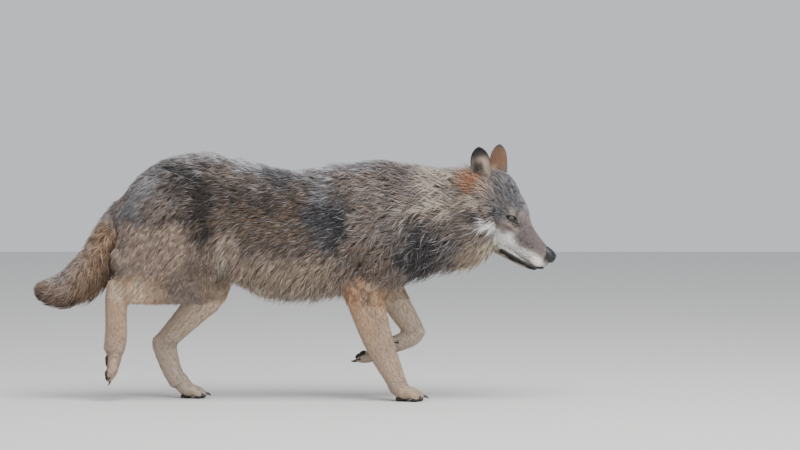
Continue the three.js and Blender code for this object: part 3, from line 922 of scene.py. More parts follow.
LEG_DABS = [
    ("orange", 186, 320, 30, 22, 0, 0.5, 0.1),
    ("grey_brown", 262, 236, 118, 17, -69, 0.5, 0.5),
    ("cream", -458, 326, 84, 28, 0, 0.38, 0.1),
    ("grey_brown", -528, 168, 34, 44, 0, 0.4, 0.3),
    # painted shade: this thin umber line darkens the lower edge of the thigh, where its hair lies in shade
    ("umber", -312, 322, 70, 8, -24, 0.45, 0.2),
]
# colour, x, y, z, radii along x, y and z, strength, grizzle, in the head's own frame, alike on both sides
HEAD_DABS = [
    ("buff", -30, 45, -143, 62, 60, 40, 0.9, 0.3),
    ("grey_brown", -75, 70, -40, 70, 60, 80, 0.9, 0.7),
    ("grey", -32, 20, 58, 92, 70, 62, 1.0, 1.0),
    ("grey", -40, 58, -8, 44, 34, 30, 0.95, 1.0),
    ("cream", -4, 55, -100, 50, 50, 30, 0.9, 0.1),
    ("white", 20, 50, -68, 46, 44, 26, 1.0, 0.0),
    ("white", -50, 84, -60, 40, 44, 17, 1.0, 0.0),
    ("grey_brown", -34, 76, -86, 26, 30, 9, 0.5, 0.4),
    ("rose_grey", 62, 22, -16, 54, 42, 34, 1.0, 0.6),
    ("rose_grey", 112, 20, -30, 42, 40, 26, 1.0, 0.5),
    ("rose_grey", 70, 40, -52, 30, 20, 12, 0.7, 0.4),
    ("white", 108, 32, -79, 50, 26, 20, 0.9, 0.35),
    ("white", 66, 38, -88, 56, 30, 13, 0.9, 0.1),
    ("cream", 76, 20, -119, 84, 40, 16, 1.0, 0.0),
    ("umber", 12, 50, -32, 18, 26, 9, 0.75, 0.3),
    ("grey_brown", -8, 46, -44, 26, 26, 9, 0.6, 0.4),
    ("cream", -9, 42, 18, 16, 14, 8, 0.6, 0.3),
    ("umber", 12, 33, 18, 7, 16, 14, 0.85, 0.2),
    ("silver", 22, 12, 46, 10, 20, 9, 0.5, 0.6),
    ("soot", 24, 38, -8, 13, 12, 3.6, 0.9, 0.0),
    ("soot", -20, 46, -2, 8, 12, 2.6, 0.8, 0.0),
    ("orange", -152, 66, 22, 38, 40, 48, 0.95, 0.1),
    ("rust", -140, 74, 2, 17, 34, 38, 0.95, 0.05),
    ("fawn", -112, 74, 34, 22, 30, 24, 0.8, 0.3),
    ("cream", -112, 90, -22, 24, 40, 16, 0.8, 0.3),
    ("soot", -92, 96, -56, 24, 40, 17, 0.85, 0.1),
    ("soot", 154, 18, -50, 11, 20, 20, 1.0, 0.0),
]


RAGGED = 13.0  # how far the dabs' edges wander, mm
LIP_BAND = 7.0  # how far the dark of the lips spreads, mm


def lay_dab(coat, offset, size, colour, strength, grizzle):
    share = ((offset / size) ** 2).sum(1)
    weight = (strength * np.exp(-share * share))[:, None]
    coat += (np.append(PALETTE[colour], grizzle) - coat) * weight


def turned_offset(points, x, z, tilt):
    """How far points lie along and across a line tilted by some degrees through x, z, seen from the side."""
    turn = math.radians(tilt)
    dx, dz = points[:, 0] - x, points[:, 2] - z
    return np.stack([dx * math.cos(turn) + dz * math.sin(turn), dz * math.cos(turn) - dx * math.sin(turn)], 1)


def leg_colours(coat, points):
    """The tan of the legs, paler down and inside, over the torso's colours."""
    torso = upright_form(points, TORSO, TORSO_COAT)[0]
    for leg, parts in LEGS.items():
        for name in parts:
            upper = name.endswith("shoulder") or name.endswith("thigh")
            distance = survey(points, [name])[name][0]
            on_leg = smooth_step(2, -8, distance)
            if upper:
                fade = smooth_step(362, 322, points[:, 2] + 0.35 * RAGGED * ripple(points, 45, 31))
                if name.endswith("thigh"):
                    hock = points[:, 0] - CHAINS[name][-1, 0]
                    fade = smooth_step(384, 340, points[:, 2] + RAGGED * ripple(points, 45, 31))
                    fade = fade * (1 - 0.9 * smooth_step(-75, 30, hock))
                on_leg = on_leg * fade
            else:
                on_leg = on_leg * smooth_step(-24, 6, torso)
            inner = smooth_step(-6, 20, 66 - np.abs(points[:, 1]))
            low = smooth_step(260, 60, points[:, 2])[:, None]
            tone = PALETTE["tan"] + (PALETTE["pale_tan"] - PALETTE["tan"]) * low
            tone = tone + (PALETTE["cream"] - tone) * 0.6 * inner[:, None]
            shade = np.concatenate([tone, np.full((len(points), 1), 0.12)], 1)
            coat += (shade - coat) * (0.94 * on_leg)[:, None]


TAIL_UNDER = linear((0.29, 0.215, 0.165))


def tail_colours(coat, points):
    distance, _, _, down = chain_form(points, CHAINS["tail"])
    on_tail = smooth_step(4, -14, distance) * smooth_step(0.04, 0.2, down)
    back = np.interp(down, [0, 0.5, 0.75, 1], [-520, -604, -650, -760])
    axis_z = np.interp(down, [0, 0.29, 0.43, 0.57, 0.71, 1], [568, 440, 390, 353, 330, 328])
    over = smooth_step(-10, 52, (points[:, 2] - axis_z) * 0.8 - (points[:, 0] - back) * 0.5)
    buff = PALETTE["tan"] * 0.8
    tone = buff + (PALETTE["silver"] * 0.8 - buff) * 0.75 * over[:, None]
    under = smooth_step(8, -34, points[:, 2] - axis_z)[:, None]
    tone = tone + (TAIL_UNDER - tone) * 0.85 * under
    spot = np.exp(-(((down - 0.34) / 0.07) ** 2)) * over
    tone = tone + (PALETTE["soot"] - tone) * (0.75 * spot)[:, None]
    ragged = down + 0.035 * ripple(points, 22, 37)
    tip = smooth_step(0.72, 0.96, ragged)[:, None] * (0.5 + 0.5 * under)
    tone = tone + (PALETTE["black"] * 1.6 - tone) * tip
    shade = np.concatenate([tone, (0.08 + 0.4 * over)[:, None] * (1 - tip)], 1)
    coat += (shade - coat) * on_tail[:, None]


def markings(points):
    """Colour and share of grizzled hairs at points of the tables: columns red, green, blue, grizzle."""
    coat = np.tile(np.append(PALETTE["grey_brown"], 0.5), (len(points), 1))
    wander = np.stack([ripple(points, 70, 11 + k) + 0.6 * ripple(points, 26, 21 + k) for k in range(3)], 1)
    moved = points + wander * RAGGED
    for colour, x, z, length, height, tilt, strength, grizzle in BODY_DABS:
        lay_dab(coat, turned_offset(moved, x, z, tilt), (length, height), colour, strength, grizzle)
    leg_colours(coat, points)
    for colour, x, z, length, height, tilt, strength, grizzle in LEG_DABS:
        lay_dab(coat, turned_offset(moved, x, z, tilt), (length, height), colour, strength, grizzle)
    tail_colours(coat, points)
    ahead = points[:, 0] > 470
    local = into(points[ahead] + wander[ahead] * 2.2, HEAD)
    local[:, 1] = np.abs(local[:, 1])
    head_coat = coat[ahead]
    for colour, x, y, z, rx, ry, rz, strength, grizzle in HEAD_DABS:
        lay_dab(head_coat, local - (x, y, z), (rx, ry, rz), colour, strength, grizzle)
    lower = (MOUTH + (0, 0, -6.0)) * (1, 0, 1)
    band = np.min([capsule(local * (1, 0, 1), a, b, 0) for a, b in zip(lower, lower[1:])], axis=0)
    lay_dab(head_coat, band[:, None], (LIP_BAND,), "black", 1.0, 0.0)
    coat[ahead] = head_coat
    return coat


def ear_colours(place):
    """An ear's colours from what its points know: rusty behind, pale hair in front, and painted shade deep in its
    cup.
    """
    height, edge, forward, inside = (place[key][:, None] for key in ("height", "edge", "forward", "inside"))
    behind = PALETTE["orange"] * 0.34
    low = smooth_step(0.46, 0.16, height)
    behind = behind + (PALETTE["fawn"] * (0.72, 0.68, 0.5) - behind) * low * smooth_step(0.25, -0.15, forward)
    behind = behind + (PALETTE["grey_brown"] * 0.5 - behind) * low * smooth_step(0.1, 0.5, forward)
    behind = behind + (PALETTE["umber"] - behind) * 0.5 * smooth_step(0.6, 1.0, height)
    hair = PALETTE["cream"] * (0.84, 0.76, 0.77)
    hair = hair + (PALETTE["grey_brown"] * 0.6 - hair) * smooth_step(0.2, -0.5, forward)
    hair = hair + (PALETTE["soot"] - hair) * 0.95 * smooth_step(0.52, 0.82, height)
    # painted shade: soot darkens the middle of the cup, low and towards its back, where shade falls
    hollow = smooth_step(0.75, 0.3, edge) * smooth_step(0.35, -0.05, forward) * smooth_step(0.66, 0.42, height)
    front = hair + (PALETTE["soot"] - hair) * 0.85 * hollow
    colour = np.where(inside, front, behind)
    rim = smooth_step(0.84, 0.97, edge) * smooth_step(0.25, 0.55, height)
    rim = np.maximum(rim, smooth_step(0.9, 0.99, height))
    return colour + (PALETTE["black"] - colour) * 0.9 * rim


# %% [markdown]
# ## The skin piece
#
# The regions overlap a little and hold the same surface, so they are joined into one piece. Its material
# reads the markings from the mesh and adds what the short coat of the face and legs shows: a fine nap.

# %% Materials of the coat and the skin
def new_material(name):
    material = bpy.data.materials.new(name)
    material.use_nodes = True
    tree = material.node_tree
    return material, tree, tree.nodes["Principled BSDF"]


def noise_node(tree, scale, detail=3.0, stretch=(1, 1, 1), source="Object"):
    coordinates = tree.nodes.new("ShaderNodeTexCoord")
    mapping = tree.nodes.new("ShaderNodeMapping")
    mapping.inputs["Scale"].default_value = stretch
    noise = tree.nodes.new("ShaderNodeTexNoise")
    noise.inputs["Scale"].default_value = scale
    noise.inputs["Detail"].default_value = detail
    tree.links.new(coordinates.outputs[source], mapping.inputs["Vector"])
    tree.links.new(mapping.outputs["Vector"], noise.inputs["Vector"])
    return noise.outputs["Fac"]


def coat_material(name, roughness, speckle, bump, bump_scale):
    """Colour from the mesh's markings, with a speckle of single hairs, and a nap where bump is given."""
    material, tree, shader = new_material(name)
    attribute = tree.nodes.new("ShaderNodeAttribute")
    attribute.attribute_name = "markings"
    spread = tree.nodes.new("ShaderNodeMapRange")
    spread.inputs["From Min"].default_value = 0.3
    spread.inputs["From Max"].default_value = 0.7
    spread.inputs["To Min"].default_value = 1 - speckle
    spread.inputs["To Max"].default_value = 1 + speckle
    tree.links.new(noise_node(tree, 900.0), spread.inputs["Value"])
    scale = tree.nodes.new("ShaderNodeVectorMath")
    scale.operation = "SCALE"
    tree.links.new(attribute.outputs["Color"], scale.inputs[0])
    tree.links.new(spread.outputs["Result"], scale.inputs["Scale"])
    tree.links.new(scale.outputs["Vector"], shader.inputs["Base Color"])
    shader.inputs["Roughness"].default_value = roughness
    shader.inputs["Specular IOR Level"].default_value = 0.3
    shader.inputs["Sheen Weight"].default_value = 0.12
    shader.inputs["Sheen Roughness"].default_value = 0.5
    if bump:
        node = tree.nodes.new("ShaderNodeBump")
        node.inputs["Strength"].default_value = bump
        node.inputs["Distance"].default_value = 0.001
        tree.links.new(noise_node(tree, bump_scale, 4.0), node.inputs["Height"])
        tree.links.new(node.outputs["Normal"], shader.inputs["Normal"])
    return material


fur_material = coat_material("winter_coat", 0.62, 0.1, 0, 0)
skin_material = coat_material("short_nap", 0.75, 0.16, 0.5, 900.0)


def set_markings(mesh, colours):
    attribute = mesh.color_attributes.new("markings", "FLOAT_COLOR", "POINT")
    rgba = np.concatenate([colours, np.ones((len(colours), 1))], 1).astype(np.float32)
    attribute.data.foreach_set("color", rgba.ravel())


# %% Join the regions into the skin
SKIN_SHADE = 0.76  # the skin between long hairs lies in shade
joined_points, joined_quads, joined_colours = [], [], []
start = 0
for region, (points, quads, triangles, normals) in region_meshes.items():
    colours = ear_colours(EARS[region]) if region in EARS else markings(points)[:, :3]
    depth = np.clip(-body_field(points, REGIONS[region][4], bare=False), 0, 40) if region in REGIONS else 0 * points[:, 0]
    colours = colours * (1 - (1 - SKIN_SHADE) * smooth_step(8, 26, depth))[:, None]
    region_meshes[region] = (points, quads, triangles, normals, depth)
    joined_points.append(points)
    joined_quads.append(quads + start)
    joined_colours.append(colours)
    start += len(points)
skin_mesh = build_mesh("skin", to_frame(np.concatenate(joined_points)), np.concatenate(joined_quads))
set_markings(skin_mesh, np.concatenate(joined_colours))
skin_mesh.materials.append(skin_material)
skin = show("skin", skin_mesh)
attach(skin, "root")
FLESH = [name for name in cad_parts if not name.startswith(("eye", "nose"))]
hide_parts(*FLESH)
print("skin", 2 * len(skin_mesh.polygons), "triangles", round(time.time() - started, 1), "s")

# %% [markdown]
# ## The coat
#
# Winter fur is a dense underfur with longer guard hairs that rise from the skin and then lie back over each
# other like thatch, drawn together in pointed tufts. Each tuft here is a thin solid: a three-sided blade that
# rises, bends over and ends in a point. The field of the coat's outline says how deep the coat is above each
# root, so the tufts reach that outline and no further.
#
# Roots are strewn over the skin with a fixed seed, more thickly where the hair is short.

# %% Roots
TRIANGLES_PER_PIECE = 192000


def owned(region, points):
    """Which points aren't in a neighbouring region's own box."""
    free = np.ones(len(points), bool)
    for other in WITHOUT.get(region, ()):
        place, low, high = REGIONS[other][:3]
        free &= box_field(into(points, place), low, high) > 0
    if region in REGIONS:
        place, low, high = REGIONS[region][:3]
        free &= box_field(into(points, place), low, high) < -1.0
        if region in ("right_foreleg", "left_foreleg", "left_hindleg", "right_knee"):
            free &= points[:, 2] < 302
        if region == "body":
            free &= points[:, 2] > 302
    return free


def strewn_roots(regions, count, keep, seed, thin=1.0):
    """Up to count roots on the named regions where keep says so: place, normal and depth of coat."""
    rng = np.random.default_rng(seed)
    corner, normal, depth, weight = [], [], [], []
    for region in regions:
        points, _, triangles, normals, deep = region_meshes[region]
        tri = points[triangles]
        area = np.linalg.norm(np.cross(tri[:, 1] - tri[:, 0], tri[:, 2] - tri[:, 0]), axis=1) / 2
        middle = tri.mean(1)
        here = owned(region, middle)
        if keep is not None:
            here &= keep(middle, normals[triangles].mean(1), region)
        d = deep[triangles].mean(1)
        corner.append(tri[here])
        normal.append(normals[triangles[here]])
        depth.append(deep[triangles[here]])
        weight.append(area[here] / (d[here] + 4) ** thin)
    corner, normal, depth, weight = (np.concatenate(v) for v in (corner, normal, depth, weight))
    pick = rng.choice(len(weight), count, p=weight / weight.sum())
    share = rng.dirichlet((1, 1, 1), count)
    root = (corner[pick] * share[:, :, None]).sum(1)
    out = unit((normal[pick] * share[:, :, None]).sum(1))
    return root, out, (depth[pick] * share).sum(1)


# %% [markdown]
# The lie of the coat runs from the nose over the head, back along the body and down the legs. Each form of
# the body has its own direction, and a root takes a mix of the forms that are near.

# %% Lie of the coat
LIE_BLEND = 13.0


def torso_lie(points):
    x, z = points[:, 0], points[:, 2]
    widest = np.interp(x, TORSO[:, 0], TORSO[:, 3])
    low = np.clip((widest + 60 - z) / 200, 0, 1.3)
    drop = 0.18 + 2.2 * low ** 1.6
    neck = smooth_step(300, 480, x)
    drop = drop * (1 - 0.25 * neck)
    rump = smooth_step(-380, -500, x)
    drop = drop + 1.1 * rump
    return unit(np.stack([-np.ones_like(x), np.zeros_like(x), -drop], 1))


def head_lie(points):
    p = into(points, HEAD)
    side = np.sign(p[:, 1])
    cheek = smooth_step(10, -50, p[:, 0]) * smooth_step(30, -40, p[:, 2])
    crown = smooth_step(-10, 40, p[:, 2]) * smooth_step(40, -20, p[:, 0])
    lie = np.stack([
        -np.ones(len(p)),
        side * (0.14 + 0.25 * cheek),
        -0.12 - 0.75 * cheek + 0.32 * crown,
    ], 1)
    return unit(lie @ HEAD["turn"].T)


def coat_lie(points, regions_parts):
    said = survey(points, regions_parts)
    total = np.zeros_like(points)
    nearest = np.min([found[0] for found in said.values()], axis=0)
    for name, found in said.items():
        weight = np.exp(-np.clip((found[0] - nearest) / LIE_BLEND, 0, 40))
        if name == "torso":
            lie = torso_lie(points)
        elif name in ("skull", "jaw"):
            lie = head_lie(points)
        else:
            lie = found[2]
            if name.endswith(("shoulder", "thigh")):
                lie = unit(lie * (1, 0.3, 1) + np.array([-0.75, 0, -0.15]))
            elif name not in PAWS and name != "tail":
                lie = unit(lie + np.array([-0.12, 0, 0]))
        total += lie * weight[:, None]
    return unit(total)


# %% [markdown]
# One function makes a tuft's blade from its root, its lie, its length and how high it rises, for thousands
# of tufts at once. Neighbouring tufts lean towards shared lines, which parts the coat into locks. The
# markings are read at the root, then banded along the tuft: dull underfur darkened by painted shade near
# the root, clear colour, and a dark or a silver tip on the grizzled ones. Tufts that a ripple lifts higher
# are painted lighter and the lower ones darker, as painted light and shade on the locks.

# %% Tufts
PATCH = 0.003  # each tuft's place on the baked map
UNDERFUR = linear((0.60, 0.55, 0.49))
STRAND_RINGS = {1: (0.0,), 2: (0.0, 0.5), 3: (0.0, 0.34, 0.7)}
BLADE_WIDTH = {1: (1.0,), 2: (0.8, 1.0), 3: (0.7, 1.0, 0.72)}
FLATNESS = 0.42
PROBE = 2.0  # step for measuring which way the coat's outline lies, mm


def settle(points, share, parts):
    """Moves points to a share of the coat's height above the skin: 0 on the skin, 1 on the outline."""
    outline = body_field(points, parts, bare=False)
    thick = np.maximum(body_field(points, parts) - outline, 0.8)
    slope = [(body_field(points + step, parts, bare=False) - outline) / PROBE for step in np.eye(3) * PROBE]
    slope = np.stack(slope, 1)
    slope /= np.maximum((slope ** 2).sum(1), 0.3)[:, None]
    wanted = -thick * (1 - share)
    points = points + slope * np.clip(wanted - outline, -30, 30)[:, None]
    again = body_field(points, parts, bare=False)
    return points + slope * np.clip(wanted - again, -8, 8)[:, None]


def blades(centres, out, width, rings):
    """Corners and triangles of three-sided blades through the centres of their rings."""
    points = []
    for k in range(len(rings)):
        ahead = unit(centres[k + 1] - centres[max(k - 1, 0)])
        across = unit(np.cross(ahead, out) + 1e-6)
        up = np.cross(across, ahead)
        w = (width * BLADE_WIDTH[len(rings)][k])[:, None]
        points += [centres[k] - across * w / 2, centres[k] + across * w / 2, centres[k] + up * w * FLATNESS]
    points.append(centres[-1])
    tip = len(points) - 1
    faces = [(0, 1, 2)]
    for low in range(0, tip - 3, 3):
        for i in range(3):
            j = (i + 1) % 3
            faces += [(low + i, low + 3 + i, low + j), (low + j, low + 3 + i, low + 3 + j)]
    faces += [(tip - 3 + i, tip, tip - 3 + (i + 1) % 3) for i in range(3)]
    faces = np.array(faces)[:, ::-1]
    triangles = (np.arange(len(width))[:, None, None] * (tip + 1) + faces[None]).reshape(-1, 3)
    return np.stack(points, 1).reshape(-1, 3), triangles


def grow_coat(name, roots, out, depth, lie, style, seed, chart, slot, parts=None, base=None):
    """One piece of coat. Style holds the numbers that say what the tufts there are like."""
    rng = np.random.default_rng(seed)
    count = len(roots)
    chance_of_shag = np.random.default_rng(seed + 1).uniform(0, 1, count)
    rings = STRAND_RINGS[style["rings"]]
    lie = unit(lie - out * ((lie * out).sum(1) - np.maximum((lie * out).sum(1), 0) * style.get("hang", 0.7))[:, None])
    side = unit(np.cross(lie, out))
    lie = unit(lie + side * rng.normal(0, style.get("jitter", 0.1), count)[:, None])
    side = unit(np.cross(lie, out))
    lock = style.get("lock", 24.0)
    body = ripple(roots, lock * 2.6, 60) * 0.5 + ripple(roots, lock * 1.2, 61) * 0.5 + ripple(roots, lock * 0.6, 62) * 0.3
    length = (style["length"][0] + style["length"][1] * depth) * rng.uniform(0.65, 1.1, count)
    rise = rng.uniform(*style.get("rise", (0.45, 0.98)), count) * (1 + 0.16 * np.clip(body, -1, 1))
    outward = np.maximum((lie * out).sum(1), 0)
    rise = np.minimum(rise, style.get("limit", 1.02) + style.get("shag", 0.3) * smooth_step(0.08, 0.45, outward))
    rise = rise * (1 + style.get("shag", 0.3) * smooth_step(0.08, 0.45, outward) * (chance_of_shag < 0.3))
    length = np.where(outward > 0.15, np.minimum(length, rise * np.maximum(depth, 3) / np.maximum(outward, 0.15)), length)
    gather = ripple(roots + side * 2, lock, 5) - ripple(roots - side * 2, lock, 5)
    bend = np.clip(gather * lock / 4, -1, 1) * style.get("gather", 0.3) + rng.normal(0, 0.05, count)
    width = (style["width"][0] + style["width"][1] * length) * rng.uniform(0.7, 1.25, count)
    centres = []
    for s in (*rings, 1.0):
        reach = roots + lie * (length * s ** 1.12)[:, None] + side * (bend * length * s ** 1.8)[:, None]
        height = rise * (1 - (1 - s) ** 2.1)
        if s == 0 or parts is None:
            height = np.maximum(depth, style.get("least_rise", 1.0)) * height - 0.9 * (s == 0)
            centres.append(reach + out * height[:, None])
        else:
            centres.append(settle(reach, height, parts))
    cloud, triangles = blades(centres, out, width, rings)
    mesh = build_mesh(name, to_frame(cloud), triangles)

    seen = roots + lie * (0.55 * length)[:, None]  # most of a tuft shows over the roots of the next ones
    base = markings(seen) if base is None else base
    grizzle = base[:, 3] * style.get("grizzle", 1.0)
    streak = np.clip(ripple(roots, lock * 0.8, 41), -1.3, 1.3) * style.get("streak", 0.1)
    # painted light and shade on the locks: the ripple that lifts a tuft higher also makes it lighter, and a lower one
    # darker; streak and mottle are the coat's own variation
    shade = 1 + streak + style.get("painted_lock_light", 0.17) * np.clip(body, -1, 1) + rng.normal(0, style.get("mottle", 0.1), count)
    tone = base[:, :3] * shade[:, None].clip(0.3, 2)
    chance = rng.uniform(0, 1, count)
    dark, pale = chance < 0.34 * grizzle, chance > 1 - 0.34 * grizzle
    end = np.where(dark[:, None], tone * 0.3, tone)
    end = np.where(pale[:, None], tone + (PALETTE["pale_silver"] - tone) * 0.6, end)
    middle = tone + (end - tone) * (0.35 if len(rings) > 1 else 0.8)
    deep = (0.15 + 0.85 * smooth_step(3, 17, depth))[:, None]  # a thin coat hardly shades its own roots
    bottom = tone + (UNDERFUR - tone) * style.get("underfur", 0.3) * deep
    bottom = bottom * (1 - (1 - style.get("root_shade", 0.7)) * deep)
    colours = []
    for s in rings:
        ring = bottom + (middle - bottom) * float(smooth_step(0.0, 0.42, np.array(s)))
        colours += [ring + (end - ring) * (0.45 if s > 0.6 else 0)] * 3
    colours.append(end)
    set_markings(mesh, np.stack(colours, 1).reshape(-1, 3).clip(0.002, 0.95))

    across = np.array([0, 1, 0.5] * len(rings) + [0.5])
    down = np.array([s for s in rings for _ in range(3)] + [1.0])
    patch = chart(roots) * (1 - 2 * PATCH) + PATCH
    uv = patch[:, None, :] + PATCH * (np.stack([across, down], 1)[None] - 0.5)
    layer = mesh.uv_layers.new(name="OFBake")
    layer.data.foreach_set("uv", uv.reshape(-1, 2)[triangles.ravel()].astype(np.float32).ravel())
    mesh.materials.append(fur_material)
    made = show(name, mesh)
    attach(made, "root")
    print(name, count, "tufts,", len(triangles), "triangles", round(time.time() - started, 1), "s")
    return made


# %% [markdown]
# The baked map of the coat is an unwrap of the skin: along the body one way, and round it the other. Each
# tuft takes a small patch of that map at its own root.

# %% Unwraps of the skin
def round_body(points):
    """Along the trunk, and the angle round it."""
    middle = np.interp(points[:, 0], TORSO[:, 0], TORSO[:, 3])
    angle = np.arctan2(points[:, 1], points[:, 2] - middle)
    return np.stack([(points[:, 0] + 560) / 1180, angle / (2 * math.pi) + 0.5], 1).clip(0, 1)


def round_head(points):
    p = into(points, HEAD)
    angle = np.arctan2(p[:, 1], p[:, 2] + 55)
    return np.stack([(p[:, 0] + 230) / 420, angle / (2 * math.pi) + 0.5], 1).clip(0, 1)


def round_strips(names):
    """Each chain or paw gets a strip of the map: down it one way, round it the other."""
    def chart(points):
        said = survey(points, names)
        which = np.stack([said[name][0] for name in names]).argmin(0)
        place = np.zeros((len(points), 2))
        for k, name in enumerate(names):
            mine = which == k
            p = points[mine]
            if name in PAWS:
                local = into(p, PAWS[name])
                down = (local[:, 0] + 70) / 150
                angle = np.arctan2(local[:, 1], local[:, 2] - 20)
            else:
                chain = CHAINS[name]
                down = said[name][3][mine]
                axis = [np.interp(down * (len(chain) - 1), np.arange(len(chain)), chain[:, c]) for c in range(3)]
                offset = p - np.stack(axis, 1)
                fore = unit(np.cross(said[name][2][mine], np.array([0.0, 1, 0])))
                angle = np.arctan2((offset * fore).sum(1), offset[:, 1])
            place[mine] = np.stack([down, (k + angle / (2 * math.pi) + 0.5) / len(names)], 1)
        return place.clip(0, 1)
    return chart


def round_ears(points):
    local = into(points, HEAD)
    ears = [into(local, EARS[side]) for side in EARS]
    left = local[:, 1] > 0
    ear = np.where(left[:, None], ears[1], ears[0])
    angle = np.arctan2(ear[:, 1], -ear[:, 0]) / (2 * math.pi) + 0.5
    return np.stack([(ear[:, 2] + 60) / 170, (left + angle) / 2], 1).clip(0, 1)


# %% [markdown]
# Some parts of the skin stay bare: the opening of the eye, the slit of the mouth, the nose and the soles.
# The mesh of tufts is shared out over pieces, none of them too heavy.

# %% Where hair grows
def grows(points, normals, region):
    bare = (points[:, 2] < 4) | ((points[:, 2] < 12) & (normals[:, 2] < -0.5))
    local = into(points, HEAD)
    local[:, 1] = np.abs(local[:, 1])
    if region in ("right_eye", "left_eye", "face"):
        offset = local - EYE_AT
        ball = np.linalg.norm(offset, axis=1)
        opening = np.abs(offset @ EYE_UP) - almond(offset @ EYE_ALONG) - 2.6
        bare |= (ball < EYE_RADIUS + 0.75 * LID) | ((opening < 0) & (ball < 30) & (offset @ GAZE > 0)
                                                   & (np.abs(offset @ EYE_ALONG) < EYE_WIDTH + 1))
        slit = np.min([capsule(local, a, b, 2.6) for a, b in zip(MOUTH, MOUTH[1:])], axis=0)
        bare |= slit < 0
        bare |= (local[:, 0] > 147) & (local[:, 2] > -72)
        bare |= local[:, 0] > 160
    return ~bare


def is_tail(points):
    tail, _, _, down = chain_form(points, CHAINS["tail"])
    return (tail < upright_form(points, TORSO, TORSO_COAT)[0]) & (down > 0.02) & (points[:, 0] < -480)


def zone(low, high, side):
    def keep(points, normals, region):
        x = points[:, 0]
        return grows(points, normals, region) & (x > low) & (x <= high) & (points[:, 1] * side > 0) & ~is_tail(points)
    return keep


def tail_zone(points, normals, region):
    return is_tail(points)


LONG = {"rings": 2, "length": (6, 1.8), "width": (0.62, 0.027), "lock": 26.0, "gather": 0.2, "painted_lock_light": 0.2}
RUFF = dict(LONG, rings=3, length=(8, 1.7), width=(0.75, 0.028), lock=30.0, gather=0.4, streak=0.2, painted_lock_light=0.24)
BRUSH = dict(LONG, rings=3, length=(12, 1.5), lock=26.0, gather=0.22, jitter=0.07, hang=1.0, rise=(0.55, 1.12), limit=1.2)
SHORT = {"rings": 1, "length": (5, 1.5), "width": (0.5, 0.05), "lock": 16.0, "gather": 0.15, "streak": 0.04,
         "painted_lock_light": 0.05, "mottle": 0.06, "root_shade": 0.97, "rise": (0.2, 0.8)}
FACE = dict(SHORT, length=(4.5, 2.0), width=(0.5, 0.06), lock=10.0, jitter=0.15, mottle=0.17, root_shade=0.92, underfur=0)
MIDDLE, HIND = 175, -270  # where the trunk's coat meets the neck's and the hindquarters'
LEG_CHAINS = [name for parts in LEGS.values() for name in parts]
BODY_PARTS = ["torso", *UPPER_PARTS, "tail", "skull"]
COATS = [  # name, regions, where, parts for the lie, tufts, style, unwrap, slot
    ("coat_trunk_right", ["body"], zone(HIND, MIDDLE, -1), BODY_PARTS, 15500, LONG, round_body, "body_fur"),
    ("coat_trunk_left", ["body"], zone(HIND, MIDDLE, 1), BODY_PARTS, 15500, LONG, round_body, "body_fur"),
    ("coat_neck_right", ["body"], zone(MIDDLE, 700, -1), BODY_PARTS, 10500, RUFF, round_body, "neck_fur"),
    ("coat_neck_left", ["body"], zone(MIDDLE, 700, 1), BODY_PARTS, 10500, RUFF, round_body, "neck_fur"),
    ("coat_hind_right", ["body"], zone(-600, HIND, -1), BODY_PARTS, 13000, LONG, round_body, "body_fur"),
    ("coat_hind_left", ["body"], zone(-600, HIND, 1), BODY_PARTS, 13000, LONG, round_body, "body_fur"),
    ("coat_tail", ["body"], tail_zone, BODY_PARTS, 7500, BRUSH, round_strips(["tail"]), "tail_fur"),
    ("coat_head", ["head"], grows, HEAD_PARTS, 14000, dict(LONG, lock=18.0, length=(5, 1.6), width=(0.6, 0.03), underfur=0.1), round_head, "face_fur"),
    ("coat_face", ["face", "right_eye", "left_eye"], grows, HEAD_PARTS, 28000, FACE, round_head, "face_fur"),
]
for name, regions, where, parts, count, style, chart, slot in COATS:
    roots, out, depth = strewn_roots(regions, count, where, len(name) * 7 + count)
    grow_coat(name, roots, out, depth, coat_lie(roots, parts), style, count + 1, chart, slot, parts)
for side, legs in (("right", ("right_foreleg", "right_forepaw", "right_hindleg", "right_knee")),
                   ("left", ("left_foreleg", "left_hindleg", "left_hindpaw"))):
    parts = ["torso"] + [name for leg in LEGS if leg.startswith(side) for name in LEGS[leg]]
    roots, out, depth = strewn_roots(legs, 18000, grows, 77 + len(side))
    grow_coat("coat_legs_" + side, roots, out, depth, coat_lie(roots, parts), SHORT, 78 + len(side),
              round_strips(parts[1:]), "leg_fur", parts)
for side, place in EARS.items():
    points, quads, triangles, normals, depth = region_meshes[side]
    rng = np.random.default_rng(311 + len(side))
    tri = points[triangles]
    area = np.linalg.norm(np.cross(tri[:, 1] - tri[:, 0], tri[:, 2] - tri[:, 0]), axis=1)
    inside = place["inside"][triangles].all(1)
    pick = rng.choice(len(triangles), 5200, p=area / area.sum())
    share = rng.dirichlet((1, 1, 1), len(pick))[:, :, None]
    roots = (tri[pick] * share).sum(1)
    out = unit((normals[triangles[pick]] * share).sum(1))
    lie = unit((place["lie"][triangles[pick]] * share).sum(1))
    depth = np.where(inside[pick], 2.6, 1.6)
    paint = np.concatenate([ear_colours(place), np.full((len(points), 1), 0.2)], 1)
    paint = (paint[triangles[pick]] * share).sum(1)
    grow_coat("coat_" + side, roots, out, depth, lie, dict(FACE, length=(5, 1.4)), 400 + len(side), round_ears,
              "ear_fur", base=paint)

# %% [markdown]
# ## Eyes, lids and lips
#
# A wolf's eye is amber with a dark rim and a round pupil, wet and bright under dark lids. The eyeball is a
# ball turned round the line of sight, with a slightly raised cornea. The lids' margins and the lips are dark
# bare skin, here thin tubes laid along the edges of the openings in the fur.

